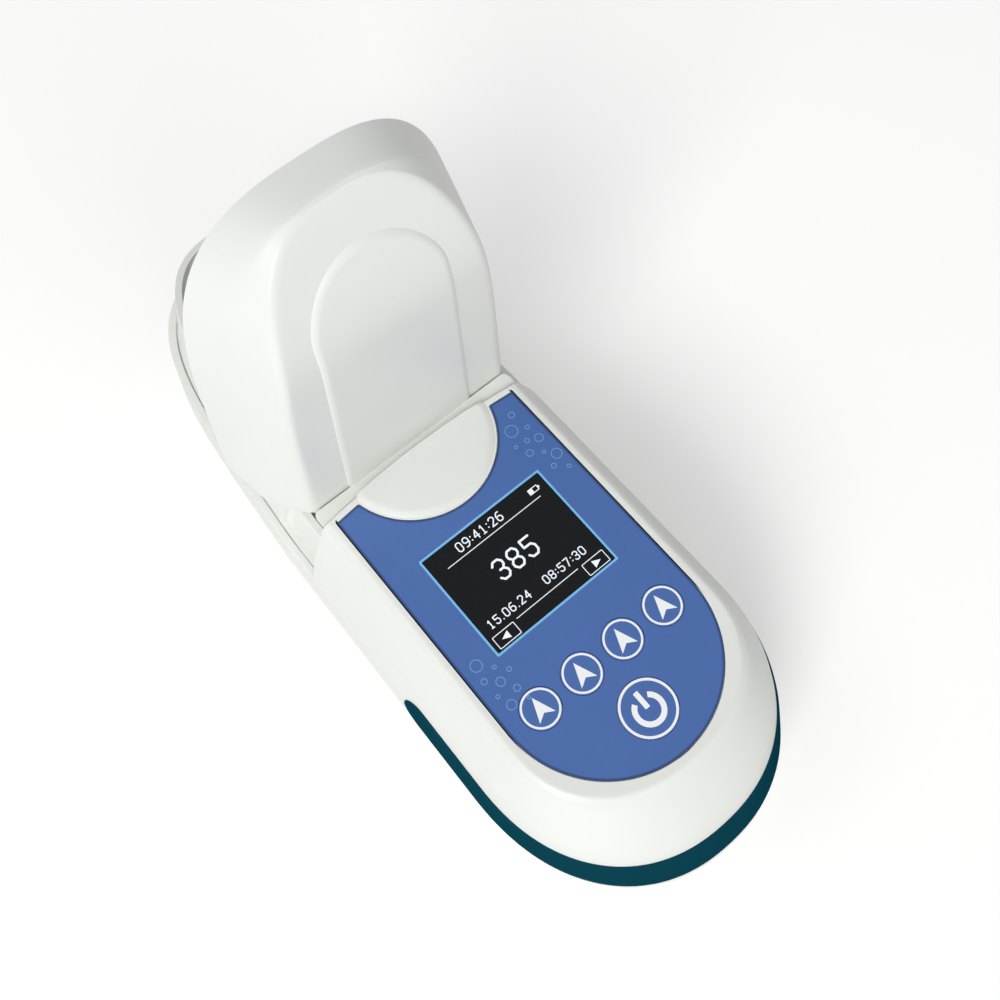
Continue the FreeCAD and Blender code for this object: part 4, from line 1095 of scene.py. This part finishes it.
# Liner: a thin matt black tray pressed into the lid against stray light
LINER_LOW_Z = 58.8
LINER_FRONT_Y = 26.7
LINER_PULL = 6.0
liner_out = lid_skin(2.6, LINER_LOW_Z, [0.3, 0.3, 1.4, 2.0, 2.0, 2.0, 2.0, 0.5], LINER_PULL)
liner_in = lid_skin(3.8, LINER_LOW_Z, [0.3, 0.3, 1.0, 2.0, 2.0, 2.0, 2.0, 0.5], LINER_PULL)
liner_in = resampled(liner_in, len(liner_out))


def behind_front(skin):
    """Skin with its front stations drawn back to the liner's front edge."""
    skin = skin.copy()
    skin[..., 1] = np.maximum(skin[..., 1], LINER_FRONT_Y)
    return skin


liner_parts = shell_of(behind_front(liner_out)[:, 39:], behind_front(liner_in)[:, 39:])
make_piece("lid_dark_liner", [(opened(p), a, b) for p, a, b in liner_parts], black_plastic, "lid", 32.0,
           ["lid_liner"])

pin_steel, tree = new_material("ground_steel_pin")
place = add(tree, "ShaderNodeTexCoord")
stretch = add(tree, "ShaderNodeMapping", {"Scale": (0.05, 1.0, 1.0)}, {"Vector": place.outputs["Object"]})
grind = add(tree, "ShaderNodeTexNoise", {"Scale": 2500.0, "Detail": 2.0},
            {"Vector": stretch.outputs["Vector"]})
spread = add(tree, "ShaderNodeMapRange", {"To Min": 0.22, "To Max": 0.4}, {"Value": grind.outputs["Fac"]})
shader = add(tree, "ShaderNodeBsdfPrincipled", {"Base Color": linear("B9BBBD"), "Metallic": 1.0},
             {"Roughness": spread.outputs["Result"]})
finish_material(tree, shader)


# Battery door: a flush cover of the same white plastic with a grip of cut ribs
smoothed_copy("battery_door", "battery_cover", white_abs, 0.2)


# Feet: soft black discs glued in shallow seats, with a slightly rounded edge
feet_rows = []
for x, y in ((-20.0, -76.0), (20.0, -76.0), (-20.0, 88.0), (20.0, 88.0)):
    profile = [(1e-4, 0.0), (4.1, 0.0), (4.6, 0.12), (4.9, 0.5), (4.9, 2.0), (1e-4, 2.0)]
    feet_rows.append((np.stack([lift(circle(x, y, r, 64), z) for r, z in profile]), False, True))
make_piece("table_feet", feet_rows, seal_rubber, "case", 35.0, ["rubber_feet"])


# Inside: what the closed case hides keeps its modelled shape and gets the finish of the
# real piece: circuit boards, plated screws, cells in plain sleeves, clear optics.
def simple_finish(name, colour, shade, roughness, metallic=0.0, scale=300.0, extra=None):
    """Finish with a slight mottle for a piece that the case hides."""
    material, tree = new_material(name)
    place = add(tree, "ShaderNodeTexCoord")
    cloud = add(tree, "ShaderNodeTexNoise", {"Scale": scale, "Detail": 3.0},
                {"Vector": place.outputs["Object"]})
    tint = add(tree, "ShaderNodeMix", {"data_type": "RGBA", 6: linear(colour), 7: linear(shade)},
               {"Factor": cloud.outputs["Fac"]})
    settings = {"Roughness": roughness, "Metallic": metallic}
    settings.update(extra or {})
    shader = add(tree, "ShaderNodeBsdfPrincipled", settings, {"Base Color": tint.outputs[2]})
    finish_material(tree, shader)
    return material


board_green = simple_finish("circuit_board_green", "14603A", "105231", 0.35)
module_grey = simple_finish("display_module_grey", "2A2D31", "33373B", 0.45)
plated_screw = simple_finish("zinc_plated_screw", "B4B6B8", "A7A9AC", 0.3, 1.0)
cell_sleeve = simple_finish("cell_sleeve", "3A4046", "454B52", 0.3)
clear_resin = simple_finish("clear_lamp_resin", "DDE6F2", "D3DEEC", 0.1, extra={"Transmission Weight": 0.6})
inside_finishes = {
    "display_module": module_grey, "key_switches": black_plastic, "main_board": board_green,
    "board_screws": plated_screw, "case_screws": plated_screw, "deck_screws": plated_screw,
    "hinge_pins": pin_steel, "infrared_lamp": clear_resin, "lamp_lens": clear_resin,
    "beam_detector": black_plastic, "scatter_detector": black_plastic, "sensor_boards": board_green,
    "battery_holder": black_plastic, "battery_cells": cell_sleeve, "battery_contacts": pin_steel,
}
for node, material in inside_finishes.items():
    mesh = frame["nodes"][node].data
    mesh.materials.clear()
    mesh.materials.append(material)
